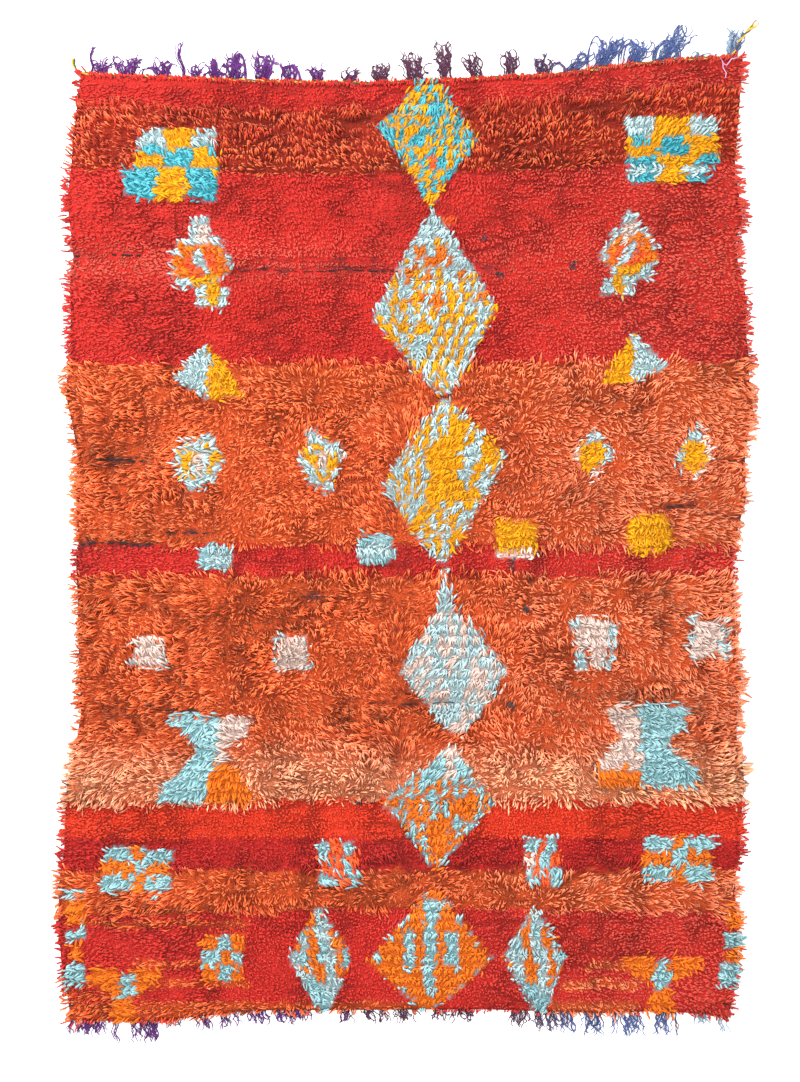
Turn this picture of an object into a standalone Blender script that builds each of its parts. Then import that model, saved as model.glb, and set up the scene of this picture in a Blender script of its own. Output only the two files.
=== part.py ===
"""A hand-knotted wool rug of the Middle Atlas kind, lying flat.

The pile and its ground weave are one lumpy slab with locks of wool along both sides. The bands of red
wool are cut short and the rust ones are long, so the slab steps up and down from band to band. A
twined cord closes the upper edge and ends free at both corners. Warp ends show past the cord and past
the lower edge: each fringe is a narrow strip with its strands, lying on the floor.

Metres, +Z up. +X is the rug's right and +Y its upper end. The origin is on the floor, under the
middle of the whole rug.
"""

import math
import random
from collections import namedtuple

import bmesh
import bpy
import numpy as np
from mathutils import Vector, noise

COLLECTION = "moroccan rug"
TOUCH_GAP = 0.0003

# The cloth's outline, without locks and fringe
Side = namedtuple("Side", "y left right")
SIDES = [
    Side(1.150, -0.795, 0.821),
    Side(1.031, -0.810, 0.812),
    Side(0.958, -0.818, 0.806),
    Side(0.884, -0.824, 0.801),
    Side(0.811, -0.832, 0.814),
    Side(0.762, -0.828, 0.820),
    Side(0.713, -0.822, 0.804),
    Side(0.664, -0.817, 0.808),
    Side(0.600, -0.827, 0.823),
    Side(0.560, -0.824, 0.832),
    Side(0.500, -0.824, 0.827),
    Side(0.419, -0.824, 0.837),
    Side(0.370, -0.834, 0.836),
    Side(0.321, -0.834, 0.846),
    Side(0.260, -0.820, 0.838),
    Side(0.190, -0.808, 0.826),
    Side(0.076, -0.811, 0.829),
    Side(0.027, -0.809, 0.815),
    Side(-0.022, -0.804, 0.800),
    Side(-0.071, -0.811, 0.796),
    Side(-0.169, -0.807, 0.799),
    Side(-0.316, -0.804, 0.808),
    Side(-0.365, -0.802, 0.818),
    Side(-0.440, -0.798, 0.806),
    Side(-0.512, -0.810, 0.806),
    Side(-0.561, -0.818, 0.820),
    Side(-0.620, -0.833, 0.825),
    Side(-0.700, -0.838, 0.817),
    Side(-0.782, -0.840, 0.814),
    Side(-0.855, -0.852, 0.802),
    Side(-0.950, -0.855, 0.805),
    Side(-1.050, -0.848, 0.808),
    Side(-1.100, -0.838, 0.804),
    Side(-1.149, -0.830, 0.796),
    Side(-1.205, -0.824, 0.782),
]
End = namedtuple("End", "x y")
UPPER_END = [
    End(-0.846, 1.120),
    End(-0.680, 1.110),
    End(-0.342, 1.098),
    End(-0.092, 1.093),
    End(0.080, 1.100),
    End(0.374, 1.115),
    End(0.521, 1.136),
    End(0.668, 1.151),
    End(0.864, 1.161),
]
LOWER_END = [
    End(-0.864, -1.198),
    End(-0.606, -1.200),
    End(-0.508, -1.188),
    End(-0.386, -1.174),
    End(0.178, -1.171),
    End(0.496, -1.181),
    End(0.619, -1.174),
    End(0.717, -1.183),
    End(0.864, -1.205),
]
UPPER_LEVEL = 1.110
LOWER_LEVEL = -1.185
EDGE_WAVER = 0.002
WAVER_SIZE = 0.07
WAVER_LAYER = 3.7
LEVEL_SLACK = 0.000001

# Bands of pile from the upper end down: where each starts, how high it stands, and its wool
Band = namedtuple("Band", "name start height wool")
BANDS = [
    Band("upper border", 1.110, 0.015, "red"),
    Band("dark band", 1.036, 0.022, "dark rust"),
    Band("red field", 0.880, 0.018, "red"),
    Band("upper rust field", 0.407, 0.026, "rust"),
    Band("red stripe", -0.034, 0.017, "red"),
    Band("lower rust field", -0.113, 0.028, "rust"),
    Band("scarlet band", -0.664, 0.018, "red"),
    Band("thin rust band", -0.821, 0.023, "rust"),
    Band("red foot", -0.933, 0.018, "red"),
]
BAND_STEP = 0.012
ROW_SPACING = 0.040
COLUMNS = 36
END_BEND = 2

# Partings and folds in the pile: a trough from one point to another
Trough = namedtuple("Trough", "x1 y1 x2 y2 reach depth")
TROUGHS = [
    Trough(-0.018, 0.86, -0.018, -0.90, 0.035, 0.006),
    Trough(-0.43, -0.10, -0.43, -0.46, 0.035, 0.005),
    Trough(0.63, 0.12, 0.63, -0.32, 0.035, 0.005),
    Trough(0.30, 0.10, 0.82, 0.04, 0.030, 0.006),
    Trough(-0.80, -0.45, 0.80, -0.43, 0.035, 0.005),
    Trough(-0.42, 0.637, 0.23, 0.637, 0.025, 0.008),
    Trough(-0.82, 0.680, -0.69, 0.680, 0.030, 0.009),
    Trough(-0.77, 0.174, -0.63, 0.174, 0.030, 0.009),
    Trough(-0.82, -0.030, -0.46, -0.005, 0.030, 0.009),
    Trough(0.61, 0.061, 0.72, 0.061, 0.030, 0.009),
    Trough(-0.27, -0.159, -0.20, -0.159, 0.030, 0.009),
]
LUMP_SIZE = 0.11
LUMP_HEIGHT = 0.0055
SMALL_LUMPS = 0.5
SMALL_LUMP_LAYER = 9
SIDE_FALL = 0.060
SIDE_HEIGHT = 0.62
END_FALL = 0.030
END_HEIGHT = 0.75

# A wall whose normal is nearer its side than this faces that side
FACING = 0.8

# Locks of wool along both sides; rows shorter than this between two bands have none
LOCK_ROW = 0.022
LOCK_LENGTH = 1.5
LOCK_DRIFT = 0.010
LOCK_SHORTEST = 0.75
LOCK_LONGEST = 1.1
LOCK_WAIST = 0.55
LOCK_WAIST_OUT = 0.5
LOCK_WAIST_DRIFT = 0.4
LOCK_WAIST_HEIGHT = 0.62
LOCK_TIP_HEIGHT = 0.25
LOCK_TIP = 0.005
LOCK_LIFT = 0.002
BARE_REACH = 0.022
BARE_LENGTH = 0.006
BARE_LEFT = [0.664, -0.022, -0.573]
BARE_RIGHT = [0.710, 0.155, -0.115, -0.655, -0.900, -1.149]

# The twined cord along the upper edge
CORD_WIDE = 0.0038
CORD_THIN = 0.0024
CORD_HALF_TURN = 0.025
CORD_STEPS = 4
CORD_LEFT_TAIL = [(-0.010, 0.006), (-0.018, 0.020), (-0.019, 0.038)]
CORD_RIGHT_TAIL = [(0.003, 0.012), (-0.002, 0.026), (0.004, 0.046), (0.022, 0.066), (0.038, 0.087)]

# Fringe: each clump's place, length, lean and spread at its tips
STRIP_DEPTH = 0.005
STRIP_HEIGHT = 0.003
CUT_CLEAR = 0.001
STRAND_ROOT = 0.0036
STRAND_TIP = 0.0020
STRAND_PITCH = 0.0062
STRAND_STEP = 0.018
STRAND_BEND = 0.006
STRAND_SNAKE = 5.2
STRAND_SHIFT_POWER = 1.3
SHORTEST_STRAND = 0.78
Clump = namedtuple("Clump", "x length lean strands spread")
UPPER_FRINGE = [
    Clump(-0.774, 0.073, 0.002, 1, 0.000),
    Clump(-0.748, 0.044, 0.003, 4, 0.026),
    Clump(-0.687, 0.059, 0.004, 5, 0.056),
    Clump(-0.603, 0.056, 0.004, 4, 0.050),
    Clump(-0.547, 0.100, -0.018, 2, 0.012),
    Clump(-0.518, 0.047, 0.002, 3, 0.024),
    Clump(-0.473, 0.061, 0.002, 4, 0.044),
    Clump(-0.422, 0.076, 0.000, 5, 0.040),
    Clump(-0.354, 0.081, 0.008, 6, 0.050),
    Clump(-0.286, 0.059, 0.004, 4, 0.044),
    Clump(-0.217, 0.054, -0.008, 4, 0.040),
    Clump(-0.147, 0.044, 0.012, 4, 0.040),
    Clump(-0.062, 0.059, 0.000, 5, 0.046),
    Clump(0.020, 0.083, -0.006, 6, 0.066),
    Clump(0.096, 0.105, -0.004, 5, 0.038),
    Clump(0.173, 0.069, -0.018, 4, 0.034),
    Clump(0.250, 0.073, 0.006, 4, 0.038),
    Clump(0.330, 0.061, 0.000, 4, 0.042),
    Clump(0.388, 0.066, 0.046, 3, 0.034),
    Clump(0.467, 0.090, 0.046, 5, 0.052),
    Clump(0.542, 0.069, 0.036, 5, 0.050),
    Clump(0.619, 0.098, 0.052, 6, 0.056),
    Clump(0.702, 0.024, 0.016, 2, 0.030),
    Clump(0.778, 0.083, 0.000, 4, 0.024),
]
LOWER_FRINGE = [
    Clump(-0.822, 0.032, -0.004, 2, 0.014),
    Clump(-0.796, 0.032, 0.000, 2, 0.016),
    Clump(-0.757, 0.039, -0.002, 3, 0.030),
    Clump(-0.719, 0.047, 0.002, 2, 0.012),
    Clump(-0.668, 0.049, 0.014, 2, 0.020),
    Clump(-0.626, 0.049, 0.000, 3, 0.020),
    Clump(-0.577, 0.022, 0.002, 2, 0.026),
    Clump(-0.508, 0.037, 0.007, 2, 0.025),
    Clump(-0.442, 0.039, 0.005, 2, 0.028),
    Clump(-0.371, 0.037, 0.007, 3, 0.029),
    Clump(-0.304, 0.034, 0.000, 3, 0.032),
    Clump(-0.258, 0.032, -0.003, 3, 0.030),
    Clump(-0.151, 0.032, -0.005, 2, 0.022),
    Clump(-0.084, 0.034, 0.010, 3, 0.044),
    Clump(-0.011, 0.032, 0.012, 3, 0.044),
    Clump(0.076, 0.029, 0.000, 2, 0.028),
    Clump(0.134, 0.032, 0.008, 3, 0.040),
    Clump(0.276, 0.042, -0.005, 3, 0.034),
    Clump(0.337, 0.047, 0.003, 4, 0.044),
    Clump(0.388, 0.054, 0.008, 2, 0.018),
    Clump(0.459, 0.051, 0.000, 3, 0.044),
    Clump(0.540, 0.054, 0.000, 4, 0.054),
    Clump(0.628, 0.054, 0.008, 3, 0.046),
    Clump(0.710, 0.029, 0.008, 2, 0.034),
    Clump(0.770, 0.037, 0.006, 2, 0.014),
]

# Base colour and roughness of each wool
WOOLS = {
    "red": ((0.48, 0.035, 0.03, 1.0), 0.9),
    "rust": ((0.52, 0.10, 0.035, 1.0), 0.9),
    "dark rust": ((0.30, 0.05, 0.012, 1.0), 0.9),
    "mustard cord": ((0.55, 0.30, 0.03, 1.0), 0.85),
    "purple warp": ((0.12, 0.05, 0.17, 1.0), 0.85),
    "blue warp": ((0.12, 0.17, 0.36, 1.0), 0.85),
}


def clear_scene():
    """Removes what the scene holds, so that the model is made afresh."""
    for thing in list(bpy.data.objects):
        bpy.data.objects.remove(thing, do_unlink=True)


def wool(name):
    """The material of one wool."""
    colour, roughness = WOOLS[name]
    made = bpy.data.materials.new(name)
    made.use_nodes = True
    surface = made.node_tree.nodes["Principled BSDF"]
    surface.inputs["Base Color"].default_value = colour
    surface.inputs["Roughness"].default_value = roughness
    surface.inputs["Metallic"].default_value = 0.0
    return made


def finish(bm, name, wools, collection):
    """Writes a mesh into a new object with its wools, all faces pointing out."""
    bmesh.ops.recalc_face_normals(bm, faces=bm.faces)
    mesh = bpy.data.meshes.new(name)
    bm.to_mesh(mesh)
    bm.free()
    for each in wools:
        mesh.materials.append(wool(each))
    made = bpy.data.objects.new(name, mesh)
    collection.objects.link(made)
    return made


def grow(bm, face, rings):
    """Extrudes a face from ring to ring and leaves the last ring as its cap."""
    for ring in rings:
        face = bmesh.ops.extrude_discrete_faces(bm, faces=[face])["faces"][0]
        for vert, corner in zip(face.verts, ring):
            vert.co = corner


def bar(rings):
    """A closed bar through a row of four-cornered rings."""
    bm = bmesh.new()
    start = bm.faces.new([bm.verts.new(corner) for corner in rings[0]])
    grow(bm, start, rings[1:])
    bmesh.ops.contextual_create(bm, geom=[edge for edge in bm.edges if edge.is_boundary])
    bmesh.ops.recalc_face_normals(bm, faces=bm.faces)
    return bm


def smooth(value):
    """Rises from 0 to 1 with level ends."""
    part = min(max(value, 0.0), 1.0)
    return part * part * (3 - 2 * part)


def column(table, name):
    """One named column of a table."""
    return [getattr(row, name) for row in table]


def side_x(y, side):
    """Where the cloth's left or right edge is at a height up the rug."""
    rows = SIDES[::-1]
    return float(np.interp(y, column(rows, "y"), column(rows, side)))


def end_y(x, end):
    """Where the cloth's upper or lower edge is at a place across the rug."""
    return float(np.interp(x, column(end, "x"), column(end, "y")))


def waver(x, y):
    """A small unevenness of the handmade edge."""
    return EDGE_WAVER * noise.noise(Vector((x / WAVER_SIZE, y / WAVER_SIZE, WAVER_LAYER)))


def row_levels():
    """The slab's rows from the lower end up, with a short step between two bands."""
    starts = column(BANDS, "start")
    levels = []
    for start, stop in zip(starts, starts[1:] + [LOWER_LEVEL]):
        first = start if start == starts[0] else start - BAND_STEP / 2
        last = stop if stop == LOWER_LEVEL else stop + BAND_STEP / 2
        count = max(2, round((first - last) / ROW_SPACING) + 1)
        levels += list(np.linspace(first, last, count))
    return levels[::-1]


def place(across, level):
    """The plan position of a slab point: the rows bend with the uneven ends, most near them."""
    x = side_x(level, "left") * (1 - across) + side_x(level, "right") * across
    end, end_level = (UPPER_END, UPPER_LEVEL) if level > 0 else (LOWER_END, LOWER_LEVEL)
    y = level + (end_y(x, end) - end_level) * (level / end_level) ** END_BEND
    x = side_x(y, "left") * (1 - across) + side_x(y, "right") * across
    return x + waver(x, y), y + waver(y, x)


def band_at(level):
    """The band of pile at a level."""
    return [band for band in BANDS if band.start >= level - LEVEL_SLACK][-1]


def trough_depth(x, y):
    """How far the partings and folds lower the pile at a point."""
    depth = 0.0
    point = Vector((x, y))
    for trough in TROUGHS:
        start = Vector((trough.x1, trough.y1))
        run = Vector((trough.x2, trough.y2)) - start
        along = min(max((point - start).dot(run) / run.length_squared, 0), 1)
        away = (start + run * along - point).length
        depth = max(depth, trough.depth * math.exp(-((away / trough.reach) ** 2)))
    return depth


def pile_height(x, y, level, across):
    """Height of the lumpy pile, lower at its sides, at its ends and in its troughs."""
    width = side_x(level, "right") - side_x(level, "left")
    from_side = min(across, 1 - across) * width
    from_end = min(UPPER_LEVEL - level, level - LOWER_LEVEL)
    side = SIDE_HEIGHT + (1 - SIDE_HEIGHT) * smooth(from_side / SIDE_FALL)
    end = END_HEIGHT + (1 - END_HEIGHT) * smooth(from_end / END_FALL)
    lumps = noise.noise(Vector((x, y, 0)) / LUMP_SIZE)
    lumps += SMALL_LUMPS * noise.noise(Vector((y, x, SMALL_LUMP_LAYER)) / (LUMP_SIZE * SMALL_LUMPS))
    return (band_at(level).height + LUMP_HEIGHT * lumps - trough_depth(x, y)) * side * end


def lock_rings(face, outward, length, drift):
    """A lock's waist and tip, past a wall face: it narrows, droops and leans up or down the rug."""
    middle = face.calc_center_median()
    waist = []
    tip = []
    for x, y, z in (vert.co for vert in face.verts):
        beside = y - middle.y
        waist_y = middle.y + beside * LOCK_WAIST + drift * LOCK_WAIST_DRIFT
        waist.append((x + outward * length * LOCK_WAIST_OUT, waist_y, z * LOCK_WAIST_HEIGHT))
        tip_y = middle.y + math.copysign(LOCK_TIP / 2, beside) + drift
        tip.append((x + outward * length, tip_y, LOCK_LIFT + z * LOCK_TIP_HEIGHT))
    return [waist, tip]


def grow_locks(bm, walls, outward, bare_places, rng):
    """One lock from each wall face of a side, short where the ground weave shows."""
    for wall in sorted(walls, key=lambda face: face.calc_center_median().y):
        heights = [vert.co.y for vert in wall.verts]
        if wall.normal.x * outward < FACING or max(heights) - min(heights) < LOCK_ROW:
            continue
        middle = wall.calc_center_median()
        length = LOCK_LENGTH * max(vert.co.z for vert in wall.verts) * rng.uniform(LOCK_SHORTEST, LOCK_LONGEST)
        if min(abs(middle.y - y) for y in bare_places) < BARE_REACH:
            length = BARE_LENGTH
        drift = rng.uniform(-LOCK_DRIFT, LOCK_DRIFT)
        grow(bm, wall, lock_rings(wall, outward, length, drift))


def pile_rug(collection):
    """Ground weave and pile: a grid moved to the outline and heights, walled down to a flat base."""
    rng = random.Random(11)
    levels = row_levels()
    rows = len(levels) - 1
    bm = bmesh.new()
    bmesh.ops.create_grid(bm, x_segments=COLUMNS, y_segments=rows, size=0.5)
    level_of = {}
    for vert in bm.verts:
        across = vert.co.x + 0.5
        level = levels[round((vert.co.y + 0.5) * rows)]
        x, y = place(across, level)
        vert.co = (x, y, pile_height(x, y, level, across))
        level_of[vert] = level
    wools = ["red", "rust", "dark rust"]
    for face in bm.faces:
        lowest = min(level_of[vert] for vert in face.verts)
        face.material_index = wools.index(band_at(lowest).wool)

    rim = [edge for edge in bm.edges if edge.is_boundary]
    made = bmesh.ops.extrude_edge_only(bm, edges=rim)["geom"]
    walls = [part for part in made if isinstance(part, bmesh.types.BMFace)]
    for vert in (part for part in made if isinstance(part, bmesh.types.BMVert)):
        vert.co.z = 0.0
    bmesh.ops.contextual_create(bm, geom=[edge for edge in bm.edges if edge.is_boundary])
    bmesh.ops.recalc_face_normals(bm, faces=bm.faces)
    left_walls = [face for face in walls if face.normal.x < 0]
    right_walls = [face for face in walls if face.normal.x > 0]
    grow_locks(bm, left_walls, -1, BARE_LEFT, rng)
    grow_locks(bm, right_walls, 1, BARE_RIGHT, rng)
    return finish(bm, "pile_rug", wools, collection)


def end_line(level):
    """The slab's upper or lower edge in plan, from left to right."""
    return np.array([place(number / COLUMNS, level) for number in range(COLUMNS + 1)])


def heading_cord(edge, collection):
    """A cord of two twined plies: a four-sided oval that turns as it goes, with a lump each half turn."""
    off = TOUCH_GAP + CORD_WIDE
    line = [Vector((x, y + off)) for x, y in edge]
    left = [line[0] + Vector(step) for step in CORD_LEFT_TAIL]
    right = [line[-1] + Vector(step) for step in CORD_RIGHT_TAIL]
    route = left[::-1] + line + right
    lengths = np.cumsum([0.0] + [(b - a).length for a, b in zip(route, route[1:])])
    steps = round(lengths[-1] / CORD_HALF_TURN) * CORD_STEPS
    stations = np.linspace(0, lengths[-1], steps + 1)
    xs = np.interp(stations, lengths, [point.x for point in route])
    ys = np.interp(stations, lengths, [point.y for point in route])
    runs = np.gradient(np.array([xs, ys]), axis=1)

    def ring(number):
        run = Vector((runs[0][number], runs[1][number], 0)).normalized()
        beside = Vector((run.y, -run.x, 0))
        turn = math.pi * number / CORD_STEPS + math.pi / 4
        corners = []
        for quarter, radius in enumerate((CORD_WIDE, CORD_THIN, CORD_WIDE, CORD_THIN)):
            angle = turn + quarter * math.pi / 2
            reach = beside * math.cos(angle) + Vector((0, 0, 1)) * math.sin(angle)
            corners.append(Vector((xs[number], ys[number], CORD_WIDE)) + reach * radius)
        return corners

    bm = bar([ring(number) for number in range(steps + 1)])
    return finish(bm, "heading_cord", ["mustard cord"], collection)


def strand_rings(root, length, shift, bend, outward):
    """Rings of one strand that lies on the floor: it runs out, drifts to its tip's place and snakes."""
    rings = []
    count = max(3, round(length / STRAND_STEP))
    for number in range(1, count + 1):
        part = number / count
        x = root.x + shift * part**STRAND_SHIFT_POWER + bend * math.sin(part * STRAND_SNAKE) * part
        y = root.y + outward * length * part
        half = (STRAND_ROOT + (STRAND_TIP - STRAND_ROOT) * part) / 2
        top = STRIP_HEIGHT + (STRAND_TIP - STRIP_HEIGHT) * part
        rings.append([(x - half, y, 0.0), (x + half, y, 0.0), (x + half, y, top), (x - half, y, top)])
    return rings


def in_order_of(wall, rings):
    """The rings with their corners in the order of a wall face's own corners."""
    middle = wall.calc_center_median()
    order = []
    for vert in wall.verts:
        right = vert.co.x > middle.x
        raised = vert.co.z > middle.z
        order.append({(False, False): 0, (True, False): 1, (True, True): 2, (False, True): 3}[right, raised])
    return [[ring[number] for number in order] for ring in rings]


def strand_table(clumps, rng):
    """Each strand's root, length, shift to its tip and bend, clump by clump."""
    strands = []
    for clump in clumps:
        bend = rng.uniform(-STRAND_BEND, STRAND_BEND)
        for number in range(clump.strands):
            from_middle = number - (clump.strands - 1) / 2
            spread = clump.spread / clump.strands - STRAND_PITCH
            length = clump.length
            if number % 2:
                length *= rng.uniform(SHORTEST_STRAND, 1.0)
            root_x = clump.x + from_middle * STRAND_PITCH
            strands.append((root_x, length, clump.lean + from_middle * spread, bend))
    return strands


def strip_cuts(edge, strands):
    """Where the strip has its sections: at each strand's two sides and at the cloth's own corners."""
    half = STRAND_ROOT / 2
    first = strands[0][0] - 2 * STRAND_ROOT
    last = strands[-1][0] + 2 * STRAND_ROOT
    cuts = {first, last}
    for root_x, *_ in strands:
        cuts |= {root_x - half, root_x + half}
    for corner in edge[:, 0]:
        clear_of_strands = all(abs(corner - root_x) > half + CUT_CLEAR for root_x, *_ in strands)
        if clear_of_strands and first + CUT_CLEAR < corner < last - CUT_CLEAR:
            cuts.add(corner)
    return sorted(cuts)


def fringe(name, edge, clumps, away, outward, wool_name, collection, seed):
    """A narrow strip along an edge of the cloth, with strands grown from its outer wall."""
    strands = strand_table(clumps, random.Random(seed))

    def section(x):
        near = float(np.interp(x, edge[:, 0], edge[:, 1])) + outward * away
        far = near + outward * STRIP_DEPTH
        return [(x, near, 0), (x, far, 0), (x, far, STRIP_HEIGHT), (x, near, STRIP_HEIGHT)]

    bm = bar([section(x) for x in strip_cuts(edge, strands)])
    walls = [face for face in bm.faces if face.normal.y * outward > FACING]
    for root_x, length, shift, bend in strands:
        wall = min(walls, key=lambda face: abs(face.calc_center_median().x - root_x))
        walls.remove(wall)
        rings = strand_rings(wall.calc_center_median(), length, shift, bend, outward)
        grow(bm, wall, in_order_of(wall, rings))
    return finish(bm, name, [wool_name], collection)


def main():
    clear_scene()
    collection = bpy.data.collections.new(COLLECTION)
    bpy.context.scene.collection.children.link(collection)
    upper_edge = end_line(UPPER_LEVEL)
    lower_edge = end_line(LOWER_LEVEL)
    past_cord = 2 * TOUCH_GAP + 2 * CORD_WIDE
    pile_rug(collection)
    heading_cord(upper_edge, collection)
    fringe("fringe_top", upper_edge, UPPER_FRINGE, past_cord, 1, "purple warp", collection, 5)
    fringe("fringe_bottom", lower_edge, LOWER_FRINGE, TOUCH_GAP, -1, "blue warp", collection, 6)


main()
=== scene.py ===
"""Looks of a hand-knotted wool rug of the Middle Atlas kind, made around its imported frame.

The pile is made as the rug is: rows of knots on a ground weave, and from each knot two ends of yarn
that rise, lean over and lie on their neighbours. Red bands are cut short, and rust bands and motifs
are long. Warp ends and a twined cord close the upper edge.

Metres, +Z up. +X is the rug's right and +Y its upper end.
"""

import math
from collections import namedtuple

import bpy
import numpy as np
from bpy.props import FloatProperty, FloatVectorProperty, PointerProperty
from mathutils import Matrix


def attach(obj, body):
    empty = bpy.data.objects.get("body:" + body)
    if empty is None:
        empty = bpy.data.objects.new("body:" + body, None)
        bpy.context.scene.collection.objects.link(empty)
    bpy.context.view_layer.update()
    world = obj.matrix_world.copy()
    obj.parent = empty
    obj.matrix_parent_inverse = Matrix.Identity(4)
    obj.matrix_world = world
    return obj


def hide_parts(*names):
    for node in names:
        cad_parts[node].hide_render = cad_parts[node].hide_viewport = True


bl_info = {
    "name": "Knotted wool rug",
    "version": (1, 0, 0),
    "blender": (4, 5, 0),
    "location": "3D View > Sidebar > Rug",
    "description": "Makes the pile, ground weave, cord and fringes of a hand-knotted rug",
    "category": "Add Mesh",
}

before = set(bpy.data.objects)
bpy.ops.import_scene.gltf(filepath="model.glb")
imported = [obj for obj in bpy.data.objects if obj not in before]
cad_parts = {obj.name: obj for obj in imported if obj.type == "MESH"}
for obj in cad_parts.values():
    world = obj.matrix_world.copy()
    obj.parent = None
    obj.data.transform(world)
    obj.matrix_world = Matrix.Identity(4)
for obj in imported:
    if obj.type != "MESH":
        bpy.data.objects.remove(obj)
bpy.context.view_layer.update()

# The cloth's outline, without locks and fringe
Side = namedtuple("Side", "y left right")
SIDES = [
    Side(-1.205, -0.824, 0.782),
    Side(-1.149, -0.830, 0.796),
    Side(-1.100, -0.838, 0.804),
    Side(-1.050, -0.848, 0.808),
    Side(-0.950, -0.855, 0.805),
    Side(-0.855, -0.852, 0.802),
    Side(-0.782, -0.840, 0.814),
    Side(-0.700, -0.838, 0.817),
    Side(-0.620, -0.833, 0.825),
    Side(-0.561, -0.818, 0.820),
    Side(-0.512, -0.810, 0.806),
    Side(-0.440, -0.798, 0.806),
    Side(-0.365, -0.802, 0.818),
    Side(-0.316, -0.804, 0.808),
    Side(-0.169, -0.807, 0.799),
    Side(-0.071, -0.811, 0.796),
    Side(-0.022, -0.804, 0.800),
    Side(0.027, -0.809, 0.815),
    Side(0.076, -0.811, 0.829),
    Side(0.190, -0.808, 0.826),
    Side(0.260, -0.820, 0.838),
    Side(0.321, -0.834, 0.846),
    Side(0.370, -0.834, 0.836),
    Side(0.419, -0.824, 0.837),
    Side(0.500, -0.824, 0.827),
    Side(0.560, -0.824, 0.832),
    Side(0.600, -0.827, 0.823),
    Side(0.664, -0.817, 0.808),
    Side(0.713, -0.822, 0.804),
    Side(0.762, -0.828, 0.820),
    Side(0.811, -0.832, 0.814),
    Side(0.884, -0.824, 0.801),
    Side(0.958, -0.818, 0.806),
    Side(1.031, -0.810, 0.812),
    Side(1.150, -0.795, 0.821),
]
End = namedtuple("End", "x y")
UPPER_END = [
    End(-0.846, 1.120),
    End(-0.680, 1.110),
    End(-0.342, 1.098),
    End(-0.092, 1.093),
    End(0.080, 1.100),
    End(0.374, 1.115),
    End(0.521, 1.136),
    End(0.668, 1.151),
    End(0.864, 1.161),
]
LOWER_END = [
    End(-0.864, -1.198),
    End(-0.606, -1.200),
    End(-0.508, -1.188),
    End(-0.386, -1.174),
    End(0.178, -1.171),
    End(0.496, -1.181),
    End(0.619, -1.174),
    End(0.717, -1.183),
    End(0.864, -1.205),
]
UPPER_LEVEL = 1.110
LOWER_LEVEL = -1.185
END_BEND = 2

# Bands of pile from the upper end down: where each starts, how high it stands, its dye and its cut
Band = namedtuple("Band", "name start height dye cut halves")
BANDS = [
    Band("upper_border", 1.110, 0.015, "red", "short", 1),
    Band("dark_band", 1.036, 0.022, "dark_rust", "long", 1),
    Band("red_field", 0.880, 0.018, "red", "short", 1),
    Band("upper_rust", 0.407, 0.026, "rust", "long", 2),
    Band("red_stripe", -0.034, 0.017, "red", "short", 1),
    Band("lower_rust", -0.113, 0.028, "rust", "long", 2),
    Band("scarlet_band", -0.664, 0.018, "scarlet", "short", 1),
    Band("thin_rust", -0.821, 0.023, "rust", "long", 1),
    Band("red_foot", -0.933, 0.018, "red", "short", 1),
]

# Partings and folds that lower the pile along a line
Trough = namedtuple("Trough", "x1 y1 x2 y2 reach depth")
TROUGHS = [
    Trough(-0.018, 0.86, -0.018, -0.90, 0.035, 0.006),
    Trough(-0.43, -0.10, -0.43, -0.46, 0.035, 0.005),
    Trough(0.63, 0.12, 0.63, -0.32, 0.035, 0.005),
    Trough(0.30, 0.10, 0.82, 0.04, 0.030, 0.006),
    Trough(-0.80, -0.45, 0.80, -0.43, 0.035, 0.005),
    Trough(0.24, -0.375, 0.79, -0.410, 0.022, 0.008),
    Trough(-0.47, -0.452, -0.02, -0.470, 0.018, 0.009),
    Trough(0.12, 0.130, 0.47, 0.085, 0.020, 0.007),
    Trough(-0.62, -0.195, -0.30, -0.230, 0.020, 0.006),
    Trough(-0.30, -0.330, -0.06, -0.300, 0.024, 0.006),
    Trough(-0.42, 0.637, 0.23, 0.637, 0.025, 0.008),
    Trough(-0.82, 0.680, -0.69, 0.680, 0.030, 0.009),
    Trough(-0.77, 0.174, -0.63, 0.174, 0.030, 0.009),
    Trough(-0.82, -0.030, -0.46, -0.005, 0.030, 0.009),
    Trough(0.61, 0.061, 0.72, 0.061, 0.030, 0.009),
    Trough(-0.27, -0.159, -0.20, -0.159, 0.030, 0.009),
]
GROUND_CELL = 0.0200
GROUND_HEIGHTS = (0.0033, 0.0003)
BED_CELL = 0.0118
LUMP_SIZE = 0.11
LUMP_HEIGHT = 0.0045
SIDE_FALL = 0.060
SIDE_HEIGHT = 0.62
END_FALL = 0.030
END_HEIGHT = 0.75
SIDE_STRIP = 0.022
SIDE_LOCK = 0.0155
TUFT_WIDE, TUFT_HIGH = 0.0135, 0.0270
LOCK_SEED = 90

# Lines along a row where the pile parts, up above and down below, and the ground weave shows
Parting = namedtuple("Parting", "left right y gap")
PARTINGS = [
    Parting(-0.83, -0.795, 0.676, 0.0080),
    Parting(-0.724, -0.653, 0.676, 0.0060),
    Parting(-0.415, -0.018, 0.637, 0.003),
    Parting(0.153, 0.227, 0.640, 0.003),
    Parting(-0.766, -0.631, 0.174, 0.004),
    Parting(-0.594, -0.457, -0.005, 0.0030),
    Parting(-0.815, -0.606, -0.030, 0.0045),
    Parting(0.611, 0.717, 0.061, 0.004),
    Parting(-0.263, -0.202, -0.159, 0.004),
    Parting(-0.643, -0.505, -0.439, 0.003),
    Parting(-0.10, 0.12, -0.420, 0.002),
    Parting(-0.37, -0.06, 0.661, 0.0015),
    Parting(0.780, 0.850, 0.173, 0.0030),
    Parting(0.690, 0.830, 0.037, 0.0020),
    Parting(0.775, 0.830, -0.897, 0.0035),
    Parting(0.750, 0.815, -1.157, 0.0040),
    Parting(-0.870, -0.815, -1.157, 0.0040),
]

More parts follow.
